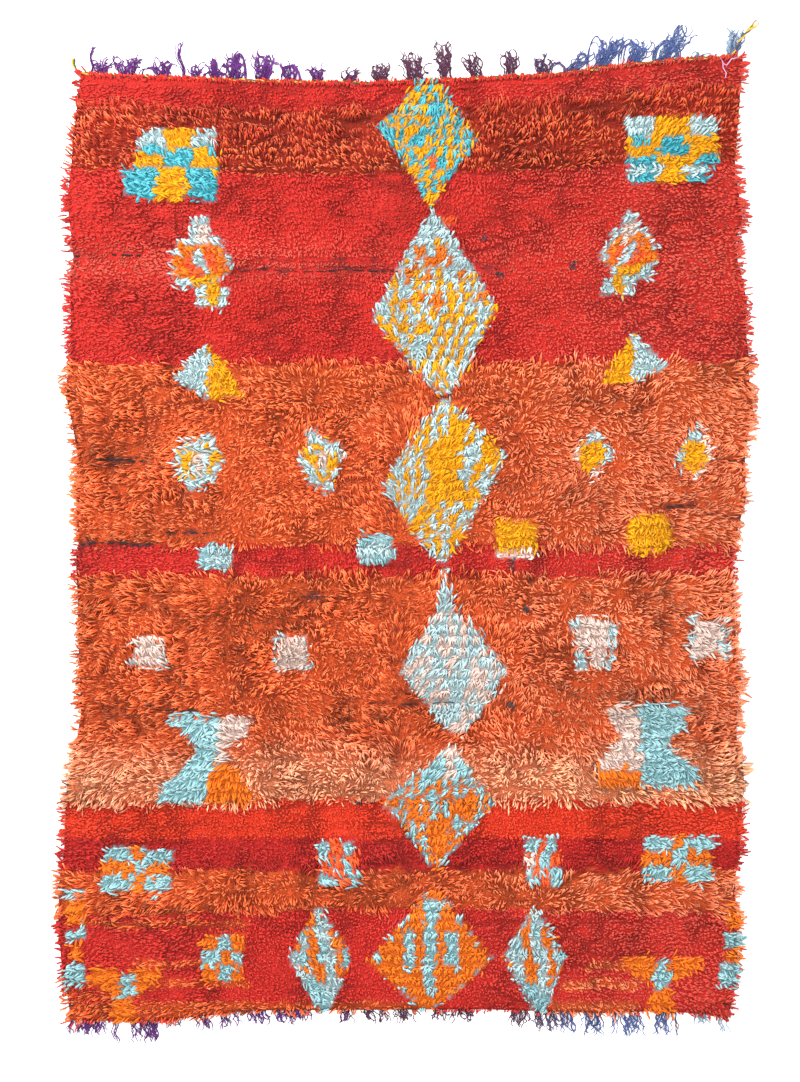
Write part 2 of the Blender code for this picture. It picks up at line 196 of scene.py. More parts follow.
# Lines from head to foot where the pile leans away to both sides
Fold = namedtuple("Fold", "x low high spread pull")
FOLDS = [
    Fold(-0.018, -0.95, 1.12, 0.10, 0.9),
    Fold(-0.447, -0.48, -0.09, 0.10, 1.0),
    Fold(0.632, -0.34, 0.13, 0.09, 0.8),
]

# Cracks between clods of pile, the deep ones first: the clods' size, how far tips draw back, and a seed
Crack = namedtuple("Crack", "wide high margin seed")
CRACKS = [Crack(0.080, 0.040, 0.0040, 301), Crack(0.034, 0.018, 0.0018, 311)]

# Streaks of another dye along the rows of the red foot
Streak = namedtuple("Streak", "left right low high dye")
STREAKS = [
    Streak(-0.790, -0.386, -0.968, -0.953, "rust"),
    Streak(-0.670, -0.506, -1.068, -1.053, "rust"),
    Streak(-0.846, -0.386, -1.117, -1.098, "rust"),
    Streak(-0.846, -0.650, -1.146, -1.127, "rust"),
    Streak(0.435, 0.528, -1.075, -1.051, "rust"),
    Streak(0.379, 0.565, -1.122, -1.098, "rust"),
    Streak(-0.846, 0.055, -1.198, -1.151, "rust"),
    Streak(0.347, 0.565, -1.198, -1.151, "rust"),
    Streak(-0.900, 0.900, -0.826, -0.752, "crimson"),
]

# Diamonds of the middle column and the two slim ones: their four tips, bulge and filling
Diamond = namedtuple("Diamond", "top_x top_y left_x left_y right_x right_y foot_x foot_y blunt bulge filling")
DIAMONDS = [
    Diamond(0.053, 1.098, -0.072, 0.990, 0.170, 0.956, 0.058, 0.794, 0.060, 1.20, "mottle"),
    Diamond(0.062, 0.782, -0.087, 0.522, 0.219, 0.546, 0.092, 0.331, 0.004, 0.92, "stripes"),
    Diamond(0.094, 0.319, -0.060, 0.115, 0.239, 0.186, 0.087, -0.076, 0.010, 0.85, "core"),
    Diamond(0.097, -0.179, -0.016, -0.343, 0.241, -0.338, 0.129, -0.495, 0.006, 0.80, "pale"),
    Diamond(0.109, -0.524, -0.058, -0.664, 0.212, -0.666, 0.072, -0.826, 0.014, 1.05, "cup"),
    Diamond(0.062, -0.875, -0.094, -1.051, 0.207, -1.046, 0.053, -1.178, 0.008, 0.95, "bars"),
    Diamond(-0.219, -0.926, -0.288, -1.041, -0.136, -1.036, -0.202, -1.183, 0.010, 0.90, "needle"),
    Diamond(0.310, -0.926, 0.234, -1.041, 0.386, -1.041, 0.327, -1.183, 0.010, 0.90, "needle"),
]

# The other motifs: the middle and size of each, its kind, and whether it is turned left for right
Motif = namedtuple("Motif", "kind x y wide high flip")
MOTIFS = [
    Motif("left_checks", -0.577, 0.897, 0.228, 0.170, 1),
    Motif("right_checks", 0.648, 0.933, 0.228, 0.160, 1),
    Motif("ring", -0.508, 0.655, 0.171, 0.228, 1),
    Motif("ring", 0.548, 0.676, 0.162, 0.206, -1),
    Motif("peak", -0.488, 0.393, 0.174, 0.135, 1),
    Motif("peak", 0.557, 0.424, 0.157, 0.122, -1),
    Motif("burst", -0.511, 0.169, 0.142, 0.142, 1),
    Motif("burst", -0.212, 0.174, 0.127, 0.157, -1),
    Motif("spark", 0.454, 0.186, 0.108, 0.122, 1),
    Motif("spark", 0.706, 0.190, 0.100, 0.149, -1),
    Motif("aqua_patch", -0.474, -0.066, 0.118, 0.069, 1),
    Motif("aqua_patch", -0.080, -0.044, 0.108, 0.093, 1),
    Motif("amber_patch", 0.266, -0.022, 0.108, 0.093, 1),
    Motif("amber_block", 0.589, -0.008, 0.106, 0.094, 1),
    Motif("pink_block", -0.633, -0.294, 0.098, 0.093, 1),
    Motif("pink_block", -0.281, -0.299, 0.108, 0.103, 1),
    Motif("comb", 0.451, -0.274, 0.120, 0.127, 1),
    Motif("pink_block", 0.739, -0.261, 0.126, 0.116, 1),
    Motif("hourglass", -0.492, -0.561, 0.247, 0.216, 1),
    Motif("turned_hourglass", 0.587, -0.528, 0.245, 0.198, 1),
    Motif("small_checks", -0.663, -0.828, 0.172, 0.101, 1),
    Motif("small_checks", 0.664, -0.801, 0.175, 0.106, 1),
    Motif("slim_checks", -0.168, -0.813, 0.103, 0.109, 1),
    Motif("slim_checks", 0.333, -0.805, 0.096, 0.115, 1),
    Motif("cream_tuft", 0.303, -0.805, 0.036, 0.022, 1),
    Motif("neck", 0.094, -0.160, 0.040, 0.078, 1),
    Motif("neck", 0.090, -0.094, 0.014, 0.040, 1),
    Motif("flame_tuft", 0.094, 0.757, 0.034, 0.026, 1),
    Motif("dark_fleck", 0.183, 0.720, 0.008, 0.022, 1),
    Motif("dark_fleck", 0.222, 0.627, 0.010, 0.014, 1),
    Motif("dark_fleck", 0.406, 0.652, 0.009, 0.020, 1),
    Motif("dark_fleck", 0.045, 0.046, 0.026, 0.009, 1),
    Motif("dark_fleck", 0.256, -0.083, 0.010, 0.030, 1),
    Motif("dark_fleck", -0.111, -0.662, 0.009, 0.020, 1),
    Motif("dark_fleck", 0.288, -0.195, 0.012, 0.008, 1),
    Motif("dark_fleck", 0.255, -0.425, 0.018, 0.008, 1),
    Motif("left_ladder", -0.814, -0.994, 0.066, 0.230, 1),
    Motif("right_ladder", 0.790, -1.018, 0.056, 0.186, 1),
    Motif("orange_checks", -0.451, -1.042, 0.105, 0.110, 1),
    Motif("wings", -0.692, -1.138, 0.171, 0.140, 1),
    Motif("wings", 0.625, -1.111, 0.194, 0.154, 1),
]

DYES = (
    "red scarlet crimson rust dark_rust turquoise aqua pale_aqua amber orange flame pink cream charcoal"
).split()
DYE = {name: number for number, name in enumerate(DYES)}
BARE = -1

# Fringe: each clump's place, length, lean, count of strands and spread at its tips
Clump = namedtuple("Clump", "x length lean strands spread")
UPPER_FRINGE = [
    Clump(-0.774, 0.073, 0.002, 1, 0.000),
    Clump(-0.748, 0.044, 0.003, 4, 0.026),
    Clump(-0.687, 0.059, 0.004, 5, 0.056),
    Clump(-0.603, 0.056, 0.004, 4, 0.050),
    Clump(-0.547, 0.100, -0.018, 2, 0.012),
    Clump(-0.518, 0.047, 0.002, 3, 0.024),
    Clump(-0.473, 0.061, 0.002, 4, 0.044),
    Clump(-0.422, 0.076, 0.000, 5, 0.040),
    Clump(-0.354, 0.081, 0.008, 6, 0.050),
    Clump(-0.286, 0.059, 0.004, 4, 0.044),
    Clump(-0.217, 0.054, -0.008, 4, 0.040),
    Clump(-0.147, 0.044, 0.012, 4, 0.040),
    Clump(-0.062, 0.059, 0.000, 5, 0.046),
    Clump(0.020, 0.083, -0.006, 6, 0.066),
    Clump(0.096, 0.105, -0.004, 5, 0.038),
    Clump(0.173, 0.069, -0.018, 4, 0.034),
    Clump(0.250, 0.073, 0.006, 4, 0.038),
    Clump(0.330, 0.061, 0.000, 4, 0.042),
    Clump(0.388, 0.066, 0.046, 3, 0.034),
    Clump(0.467, 0.090, 0.046, 5, 0.052),
    Clump(0.542, 0.069, 0.036, 5, 0.050),
    Clump(0.619, 0.098, 0.052, 6, 0.056),
    Clump(0.702, 0.024, 0.016, 2, 0.030),
    Clump(0.788, 0.083, 0.004, 3, 0.020),
    Clump(0.796, 0.073, 0.024, 2, 0.016),
]
LOWER_FRINGE = [
    Clump(-0.822, 0.032, -0.004, 2, 0.014),
    Clump(-0.796, 0.032, 0.000, 2, 0.016),
    Clump(-0.757, 0.039, -0.002, 3, 0.030),
    Clump(-0.719, 0.047, 0.002, 2, 0.012),
    Clump(-0.668, 0.049, 0.014, 2, 0.020),
    Clump(-0.626, 0.049, 0.000, 3, 0.020),
    Clump(-0.577, 0.022, 0.002, 2, 0.026),
    Clump(-0.508, 0.037, 0.007, 2, 0.025),
    Clump(-0.442, 0.039, 0.005, 2, 0.028),
    Clump(-0.371, 0.037, 0.007, 3, 0.029),
    Clump(-0.304, 0.034, 0.000, 3, 0.032),
    Clump(-0.258, 0.032, -0.003, 3, 0.030),
    Clump(-0.151, 0.032, -0.005, 2, 0.022),
    Clump(-0.084, 0.034, 0.010, 3, 0.044),
    Clump(-0.011, 0.032, 0.012, 3, 0.044),
    Clump(0.076, 0.029, 0.000, 2, 0.028),
    Clump(0.134, 0.032, 0.008, 3, 0.040),
    Clump(0.276, 0.042, -0.005, 3, 0.034),
    Clump(0.337, 0.047, 0.003, 4, 0.044),
    Clump(0.388, 0.054, 0.008, 2, 0.018),
    Clump(0.459, 0.051, 0.000, 3, 0.044),
    Clump(0.540, 0.054, 0.000, 4, 0.054),
    Clump(0.628, 0.054, 0.008, 3, 0.046),
    Clump(0.710, 0.029, 0.008, 2, 0.034),
    Clump(0.770, 0.037, 0.006, 2, 0.014),
]

# A clump narrower than this is a few long ends side by side
LONE_SPREAD = 0.015
LONE_YARNS = 4

# Long warp ends that arch from one clump to the next
Arch = namedtuple("Arch", "start stop rise yarns")
ARCHES = [
    Arch(-0.735, -0.700, 0.032, 2),
    Arch(-0.655, -0.598, 0.024, 2),
    Arch(-0.500, -0.440, 0.020, 3),
    Arch(-0.425, -0.393, 0.068, 3),
    Arch(-0.310, -0.262, 0.040, 3),
    Arch(0.350, 0.384, 0.030, 3),
    Arch(0.440, 0.480, 0.080, 3),
    Arch(0.520, 0.566, 0.060, 4),
    Arch(0.604, 0.664, 0.050, 6),
]

# A loose end that lies over the pile near the upper right corner, and its branch
LOOSE_END = [(0.762, 1.160), (0.771, 1.145), (0.771, 1.132), (0.779, 1.119), (0.777, 1.107)]
LOOSE_BRANCH = [(0.769, 1.145), (0.775, 1.140), (0.780, 1.1376), (0.792, 1.153), (0.805, 1.156)]
LOOSE_HEIGHT = 0.0155

# The twined cord: its tails past both corners of the upper edge, from the corner out
CORD_LEFT_TAIL = [(-0.010, 0.006), (-0.018, 0.020), (-0.019, 0.038)]
CORD_RIGHT_TAIL = [(-0.024, 0.006), (-0.010, 0.033), (0.002, 0.050), (0.021, 0.068), (0.039, 0.087)]
CORD_FRAYED_END = [(0.002, 0.050), (0.014, 0.068), (0.028, 0.082), (0.041, 0.094)]

FLOOR_HALF = 8.0
FLOOR_LEVEL = -0.0008


# Properties


def screen(*values):
    """Linear colour of screen values from 0 to 255."""
    parts = [value / 255 for value in values]
    return [part / 12.92 if part <= 0.04045 else ((part + 0.055) / 1.055) ** 2.4 for part in parts]


def dye(name, description, *values):
    """A colour property whose default is given in screen values."""
    return FloatVectorProperty(
        name=name, description=description, default=screen(*values), min=0, max=1, size=3, subtype="COLOR"
    )


def length(name, description, default):
    """A length property in metres."""
    return FloatProperty(
        name=name, description=description, default=default, min=0, precision=4, unit="LENGTH"
    )


def share(name, description, default):
    """A property from 0 to 1."""
    return FloatProperty(
        name=name, description=description, default=default, min=0, max=1, subtype="FACTOR"
    )


class RugDyes(bpy.types.PropertyGroup):
    """Colours of the wools."""

    red: dye("Red", "Wool of the short red bands", 186, 36, 29)
    scarlet: dye("Scarlet", "Wool of the scarlet band", 206, 49, 24)
    crimson: dye("Crimson", "Deeper red below the scarlet band", 170, 28, 24)
    rust: dye("Rust", "Wool of the long rust bands", 226, 86, 36)
    dark_rust: dye("Dark rust", "Wool of the dark band near the upper end", 172, 42, 18)
    turquoise: dye("Turquoise", "Strong blue of the upper motifs", 50, 145, 159)
    aqua: dye("Aqua", "Middle blue of the lower motifs", 124, 168, 173)
    pale_aqua: dye("Pale aqua", "Palest blue, round the diamonds", 148, 173, 176)
    amber: dye("Amber", "Yellow of the upper motifs", 214, 140, 2)
    orange: dye("Orange", "Orange of the lower motifs", 214, 99, 12)
    flame: dye("Flame", "Orange red inside the rings", 224, 78, 30)
    peach: dye("Peach", "Rust wool faded at the foot of its band", 246, 168, 122)
    salmon: dye("Salmon", "Faded red", 214, 98, 76)
    pink: dye("Pink", "Faded pink", 192, 164, 152)
    cream: dye("Cream", "Undyed wool", 222, 190, 178)
    charcoal: dye("Charcoal", "Dark warp and weft where the pile parts", 52, 50, 55)
    purple_warp: dye("Purple warp", "Warp ends at the left", 82, 34, 100)
    plum_warp: dye("Plum warp", "Warp ends in the middle", 78, 42, 64)
    blue_warp: dye("Blue warp", "Warp ends at the right", 66, 80, 128)
    pale_warp: dye("Pale warp", "Warp ends at the far right", 130, 152, 170)
    mustard: dye("Mustard", "Light ply of the cord", 214, 150, 26)
    lilac: dye("Lilac", "A loose warp end over the pile", 190, 160, 200)
    olive: dye("Olive", "Dark ply of the cord", 66, 72, 46)


class RugPile(bpy.types.PropertyGroup):
    """Sizes of the knots and of their yarn ends."""

    pitch: length("Knot pitch", "From one knot to the next, along and across", 0.0097)
    pair_gap: length("Pair gap", "Between the two ends of a knot", 0.0044)
    root: length("Root height", "Where the yarn leaves the ground weave", 0.0030)
    long_reach: length("Long reach", "How far a long end lies over, seen from above", 0.034)
    short_reach: length("Short reach", "How far a short end lies over, seen from above", 0.0180)
    motif_reach: length("Motif reach", "How far a motif's ends lie over", 0.025)
    side_reach: length("Side reach", "How far the ends at both sides lie over", 0.030)
    thick: length("Yarn thickness", "Across one end of yarn at its middle", 0.0042)
    lock_size: length("Lock size", "From one lock of long ends to the next", 0.021)
    tuft_size: length("Tuft size", "From one lock of short ends to the next", 0.015)
    bed: share("Dense part", "How much of the pile's height stands too close to tell ends apart", 0.55)
    motif_bed: share("Dense part of motifs", "The same under the motifs' fuller wool", 0.68)
    gather: share("Gather", "How far ends draw together into locks", 0.32)
    fray: share("Fray", "How far ends stray from the lie of the pile", 0.36)


class RugStudio(bpy.types.PropertyGroup):
    """Camera and light."""

    camera_height: length("Camera height", "Above the floor", 5.0)
    view_height: length("View height", "Height of floor in the frame", 2.651)
    centre_x: FloatProperty(
        name="View middle X", description="Middle of the frame", default=-0.018, unit="LENGTH"
    )
    centre_y: FloatProperty(
        name="View middle Y", description="Middle of the frame", default=-0.0245, unit="LENGTH"
    )
    floor: dye("Floor", "Plain pale floor", 250, 250, 250)


# Shapes


def column(table, name):
    """One named column of a table, as an array."""
    return np.array([getattr(row, name) for row in table], float)


def side_x(y, side):
    """Where the cloth's left or right edge is at a height up the rug."""
    return np.interp(y, column(SIDES, "y"), column(SIDES, side))


def end_y(x, end):
    """Where the cloth's upper or lower edge is at a place across the rug."""
    return np.interp(x, column(end, "x"), column(end, "y"))


def smooth(value):
    """Rises from 0 to 1 with level ends."""
    part = np.clip(value, 0, 1)
    return part * part * (3 - 2 * part)


def lattice(i, j, seed):
    """A repeatable number from 0 to 1 for each pair of whole numbers: their bits are mixed and folded."""
    mixed = i.astype(np.int64) * 73856093 ^ j.astype(np.int64) * 19349663 ^ np.int64(seed * 83492791)
    mixed = (mixed ^ (mixed >> 15)) * 2246822519 & 0xFFFFFFFF
    mixed = (mixed ^ (mixed >> 13)) * 3266489917 & 0xFFFFFFFF
    return (mixed ^ (mixed >> 16)) / 0xFFFFFFFF


def noise(x, y, size, seed):
    """Smooth noise from -1 to 1: random numbers on a square grid, blended between its corners."""
    i, j = np.floor(x / size), np.floor(y / size)
    s, t = smooth(x / size - i), smooth(y / size - j)
    low = lattice(i, j, seed) * (1 - s) + lattice(i + 1, j, seed) * s
    high = lattice(i, j + 1, seed) * (1 - s) + lattice(i + 1, j + 1, seed) * s
    return (low * (1 - t) + high * t) * 2 - 1


def colours_of(dyes, names):
    """The colours of the named dyes, one row each."""
    return np.array([list(getattr(dyes, name)) for name in names])


Clod = namedtuple("Clod", "i j x y away")


def clods(x, y, wide, high, seed, besides=None, stray=0.8):
    """The clod nearest to each point: one centre in each cell of a grid, wide by high, that strays in it,
    found among the nine cells around. besides names a clod for each point that isn't taken."""
    best = Clod(*(np.zeros_like(x) for _ in range(4)), np.full(x.shape, np.inf))
    i0, j0 = np.floor(x / wide), np.floor(y / high)
    for step_i in (-1, 0, 1):
        for step_j in (-1, 0, 1):
            i, j = i0 + step_i, j0 + step_j
            centre_x = (i + 0.5 + stray * (lattice(i, j, seed) - 0.5)) * wide
            centre_y = (j + 0.5 + stray * (lattice(i, j, seed + 1) - 0.5)) * high
            away = np.hypot((centre_x - x) / wide, (centre_y - y) / high)
            closer = away < best.away
            if besides is not None:
                closer &= (i != besides.i) | (j != besides.j)
            found = (i, j, centre_x, centre_y, away)
            best = Clod(*(np.where(closer, new, old) for new, old in zip(found, best)))
    return best


def slant_at(x, y):
    """How far the tufts of the motifs lean right for each metre up: away from the middle fold, and
    upright at the top of the middle column."""
    leaning = np.where(x > -0.012, 0.5, -0.35)
    return np.where((y > 0.99) & (np.abs(x) < 0.3), 0.05, leaning)


def tufts(x, y):
    """The tuft each point is in: clods of a grid that leans."""
    slant = slant_at(x, y)
    tuft = clods(x - slant * y, y, TUFT_WIDE, TUFT_HIGH, LOCK_SEED, stray=0.45)
    return tuft._replace(x=tuft.x + slant * tuft.y)


def every_other(x, y, seed, mixed):
    """True in every other tuft, with a few of them swapped."""
    tuft = tufts(x, y)
    return ((tuft.i + tuft.j) % 2 == 0) ^ (lattice(tuft.i, tuft.j, seed) < mixed)


def striped(x, y, seed, mixed):
    """True in every other leaning column of tufts, with a few tufts swapped."""
    tuft = tufts(x, y)
    return (tuft.i % 2 == 0) ^ (lattice(tuft.i, tuft.j, seed) < mixed)


def place(across, level):
    """Plan position of a point of the cloth: rows bend with the uneven ends, most near them."""
    x = side_x(level, "left") * (1 - across) + side_x(level, "right") * across
    upper = level > 0
    end = np.where(upper, end_y(x, UPPER_END), end_y(x, LOWER_END))
    end_level = np.where(upper, UPPER_LEVEL, LOWER_LEVEL)
    y = level + (end - end_level) * (level / end_level) ** END_BEND
    return side_x(y, "left") * (1 - across) + side_x(y, "right") * across, y


def band_number(level):
    """Which band of pile each level is in."""
    starts = column(BANDS, "start")
    return np.clip(np.searchsorted(-starts, -level, side="right") - 1, 0, len(BANDS) - 1)


def is_long(number):
    """Whether the bands of these numbers are cut long."""
    return np.array([band.cut == "long" for band in BANDS])[number]


def trough_depth(x, y):
    """How far partings and folds lower the pile: deepest on the line, falling off as a bell."""
    depth = np.zeros_like(x)
    for trough in TROUGHS:
        run_x, run_y = trough.x2 - trough.x1, trough.y2 - trough.y1
        along = ((x - trough.x1) * run_x + (y - trough.y1) * run_y) / (run_x**2 + run_y**2)
        along = np.clip(along, 0, 1)
        away = np.hypot(trough.x1 + run_x * along - x, trough.y1 + run_y * along - y)
        depth = np.maximum(depth, trough.depth * np.exp(-((away / trough.reach) ** 2)))
    return depth


def pile_height(x, y, level, across):
    """Height of the pile: its band's height and soft lumps, less its troughs, lower at sides and ends."""
    wide = side_x(level, "right") - side_x(level, "left")
    from_side = np.minimum(across, 1 - across) * wide
    from_end = np.minimum(UPPER_LEVEL - level, level - LOWER_LEVEL)
    side = SIDE_HEIGHT + (1 - SIDE_HEIGHT) * smooth(from_side / SIDE_FALL)
    end = END_HEIGHT + (1 - END_HEIGHT) * smooth(from_end / END_FALL)
    lumps = noise(x, y, LUMP_SIZE, 1) + 0.5 * noise(x, y, LUMP_SIZE / 2, 2)
    height = column(BANDS, "height")[band_number(level)]
    return (height + LUMP_HEIGHT * lumps - trough_depth(x, y)) * side * end


# Motifs


def patchy(x, y, wide, high, seed):
    """A random number from 0 to 1 for each cell of a grid, wide by high."""
    return lattice(np.floor(x / wide), np.floor(y / high), seed)


def pick(*choices):
    """The first choice whose test holds at each point, as a dye number. Choices are (test, dye) pairs."""
    tests = [np.asarray(test) for test, _ in choices]
    dyes = [DYE[name] if isinstance(name, str) else name for _, name in choices]
    return np.select(tests, dyes, BARE)


def dashes(x, y, wide, long, seed, mixed):
    """True in every other dash: upright columns, cut into dashes, a few of them swapped."""
    row = np.floor(x / wide)
    cell = np.floor(y / long + lattice(row, row * 0, seed))
    swapped = lattice(row, cell, seed + 1) < mixed
    return ((row + cell) % 2 == 0) ^ swapped


def diamond_dyes(x, y, shape):
    """A diamond's dyes. Each edge runs from tip to tip as a power curve, and the filling reads the way in
    from the nearest edge."""

    def edge(tip_x, tip_y, sign):
        upper = np.clip((shape.top_y - y) / (shape.top_y - tip_y), 0, 1) ** shape.bulge
        lower = np.clip((y - shape.foot_y) / (tip_y - shape.foot_y), 0, 1) ** shape.bulge
        top_x = shape.top_x + sign * shape.blunt / 2
        foot_x = shape.foot_x + sign * 0.006
        return np.where(y > tip_y, top_x + (tip_x - top_x) * upper, foot_x + (tip_x - foot_x) * lower)

    left, right = edge(shape.left_x, shape.left_y, -1), edge(shape.right_x, shape.right_y, 1)
    way_in = np.minimum(x - left, right - x)
    inside = (way_in > 0) & (y < shape.top_y) & (y > shape.foot_y)
    found = FILLINGS[shape.filling](x, y, way_in, shape)
    return np.where(inside, found, BARE)


def mottle(x, y, way_in, shape):
    """Short dashes of turquoise and amber, upright at the left and leaning at the right."""
    return pick(
        (np.hypot(x - 0.065, y - 0.914) < 0.012, "flame"),
        (every_other(x, y, 31, 0.08), "turquoise"),
        (True, "amber"),
    )


def stripes(x, y, way_in, shape):
    """Leaning stripes of pale aqua and amber inside a pale aqua edge, fanning out from a fold."""
    lower = (x > 0.0) & (y < 0.585)
    pale = np.where(lower, striped(x, y, 43, 0.10), every_other(x, y, 41, 0.08))
    warm = (y > 0.56) & (noise(x, y, 0.03, 8) > 0.1)
    patch = (np.hypot(x - 0.080, (y - 0.668) / 1.4) < 0.017) | (np.hypot(x - 0.075, y - 0.553) < 0.013)
    patch |= np.hypot(x - 0.034, (y - 0.688) / 1.3) < 0.011
    leaf = y > 0.712
    rim = np.where(y > 0.40, 0.013, 0.005)
    ragged = patchy(x, y, 0.012, 0.016, 3)
    return pick(
        (patch, "orange"),
        (leaf & (np.hypot(x - 0.078, y - 0.718) < 0.010), "pink"),
        (leaf, "pale_aqua"),
        ((way_in < rim) & (ragged < np.where(y > 0.62, 0.8, 0.45)), "pale_aqua"),
        (pale, "pale_aqua"),
        (warm, "orange"),
        (True, "amber"),
    )


def core(x, y, way_in, shape):
    """A solid amber middle in broken stripes of pale aqua and amber."""
    bent = x - 5.5 * (y - 0.13) ** 2
    pale = np.where(
        (x > 0.115) & (y > 0.06),
        dashes(bent + 0.006, y, 0.0200, 0.110, 52, 0.05),
        every_other(x, y, 51, 0.08),
    )
    slant = x - 0.30 * (y - 0.17)
    solid = (np.abs(slant - 0.096) < 0.036 - 0.10 * np.abs(y - 0.165)) & (y > 0.060) & (y < 0.29)
    ragged = patchy(x, y, 0.012, 0.020, 4)
    return pick(
        (solid & (way_in > 0.012), "amber"),
        (pale | ((way_in < 0.010) & (ragged < 0.5)), "pale_aqua"),
        (True, "amber"),
    )


def pale(x, y, way_in, shape):
    """Soft dashes of pale aqua and faded pink."""
    blue = every_other(x, y, 61, 0.18) | (noise(x, y, 0.04, 62) > 0.35)
    return pick((blue | (way_in < 0.008), "pale_aqua"), (True, "pink"))


def cup(x, y, way_in, shape):
    """Dashes of aqua and orange that lean out from the middle, round an orange cup."""
    blue = every_other(x, y, 71, 0.08)
    rim_y = -0.655 - 0.075 * np.exp(-((x - 0.075) ** 2) / 0.0012)
    bowl = (np.abs(y - rim_y + 0.008) < 0.015) & (np.abs(x - 0.078) < 0.066)
    stem = (np.abs(x - 0.080) < 0.018) & (y < -0.695) & (y > -0.790)
    stem |= (np.abs(x - 0.080) < 0.014) & (y < -0.780)
    drop = np.hypot(x - 0.072, y + 0.679) < 0.013
    neck = y > -0.585
    return pick(
        (neck & (x > 0.095) & (x < 0.125), "pink"),
        (neck | drop, "aqua"),
        (bowl | stem, "orange"),
        (blue | (way_in < 0.006), "aqua"),
        (True, "orange"),
    )


def bars(x, y, way_in, shape):
    """Orange with a stepped aqua outline and three upright bars."""
    step = 0.006 * np.sign(np.sin(y * 150) + 0.2)
    ragged = patchy(x, y, 0.012, 0.018, 5) < 0.62
    bar = (
        (np.abs(x - 0.056) < 0.015) & (y > -1.120) & (y < -0.899)
        | (np.abs(x - 0.003) < 0.014) & (y > -1.071) & (y < -0.970)
        | (np.abs(x - 0.108) < 0.017) & (y > -1.066) & (y < -0.975)
    )
    return pick(
        ((y > -0.900) & (np.abs(x - 0.072) < 0.013), "orange"),
        ((way_in < 0.008 + step) & ragged | bar, "aqua"),
        (True, "orange"),
    )


def needle(x, y, way_in, shape):
    """A slim aqua diamond with two leaning orange stripes, orange flecks at its rim and a solid foot."""
    from_left = (x - shape.left_x) / (shape.right_x - shape.left_x)
    sway = from_left + (y - shape.left_y) * 1.1
    stripe = (np.abs(sway - 0.42) < 0.075) | (np.abs(sway - 0.76) < 0.065)
    heart = (np.abs(sway - 0.42) < 0.12) & (y < shape.left_y - 0.005) & (y > shape.left_y - 0.045)
    open_part = (y > shape.left_y - 0.055) & (y < shape.top_y - 0.018) & (way_in > 0.008)
    fleck = (patchy(x, y, 0.011, 0.014, 9) < 0.30) & (way_in < 0.020)
    fleck &= y > shape.left_y - 0.04
    return pick(
        (heart | stripe & open_part | fleck, "orange"),
        (noise(x, y, 0.03, 82) > 0, "pale_aqua"),
        (True, "aqua"),
    )


FILLINGS = {made.__name__: made for made in (mottle, stripes, core, pale, cup, bars, needle)}

Row = namedtuple("Row", "high checks edges")
CHARTS = {
    "left_checks": [
        Row(18, "pyp", (-0.69, -0.15, 0.46, 0.94)),
        Row(4, "tyt", (-0.69, -0.10, 0.44, 0.94)),
        Row(19, "yty", (-0.81, -0.23, 0.40, 0.98)),
        Row(31, "tyt", (-1.00, -0.40, 0.27, 1.00)),
    ],
    "right_checks": [
        Row(17, "pyp", (-0.96, -0.35, 0.42, 0.96)),
        Row(4, "tyt", (-0.92, -0.38, 0.30, 0.90)),
        Row(18, "yty", (-0.98, -0.25, 0.33, 1.00)),
        Row(10, "tyt", (-1.00, -0.25, 0.50, 0.98)),
        Row(10, "pyp", (-0.94, -0.18, 0.34, 0.70)),
        Row(7, "tyt", (-0.96, -0.30, 0.30, 0.80)),
    ],
    "small_checks": [
        Row(15, "aoa", (-0.93, -0.14, 0.23, 0.98)),
        Row(16, "oao", (-1.00, -0.18, 0.28, 0.93)),
        Row(16, "aoa", (-0.98, -0.14, 0.22, 0.93)),
    ],
    "slim_checks": [
        Row(14, "afa", (-0.95, -0.42, 0.16, 0.72)),
        Row(13, "faf", (-0.84, -0.26, 0.30, 0.88)),
        Row(18, "afa", (-0.86, -0.16, 0.36, 0.95)),
    ],
    "left_ladder": [
        Row(26, "a", (-0.90, 0.60)),
        Row(16, "", ()),
        Row(120, "o", (-0.55, 0.60)),
        Row(12, "", ()),
        Row(46, "a", (-0.55, 0.65)),
        Row(17, "", ()),
        Row(75, "o", (-0.35, 0.45)),
        Row(12, "", ()),
        Row(94, "a", (-0.50, 0.75)),
    ],
    "right_ladder": [
        Row(85, "o", (-0.30, 1.00)),
        Row(15, "", ()),
        Row(70, "a", (-0.30, 1.00)),
        Row(6, "", ()),
        Row(60, "o", (-0.40, 1.00)),
        Row(10, "", ()),
        Row(95, "a", (-1.00, 0.70)),
    ],
    "orange_checks": [
        Row(15, "oao", (-0.90, -0.30, 0.34, 0.96)),
        Row(16, "aoa", (-0.96, -0.34, 0.30, 0.96)),
        Row(14, "oao", (-0.90, -0.20, 0.36, 1.00)),
    ],
}
SPOTS = {"cream_tuft": "cream", "flame_tuft": "flame", "dark_fleck": "charcoal"}


def charted(u, v, chart):
    """Checks from a chart: rows from the top, each with its height, a letter for each check and the
    places of the edges between them."""
    letters = {"t": "turquoise", "p": "pale_aqua", "y": "amber", "a": "aqua", "o": "orange", "f": "flame"}
    found = np.full(u.shape, BARE)
    top, whole = 1.0, sum(row.high for row in chart)
    for row in chart:
        foot = top - 2 * row.high / whole
        for letter, left, right in zip(row.checks, row.edges, row.edges[1:]):
            inside = (u > left) & (u < right) & (v <= top) & (v > foot)
            found = np.where(inside, DYE[letters[letter]], found)
        top = foot
    return found


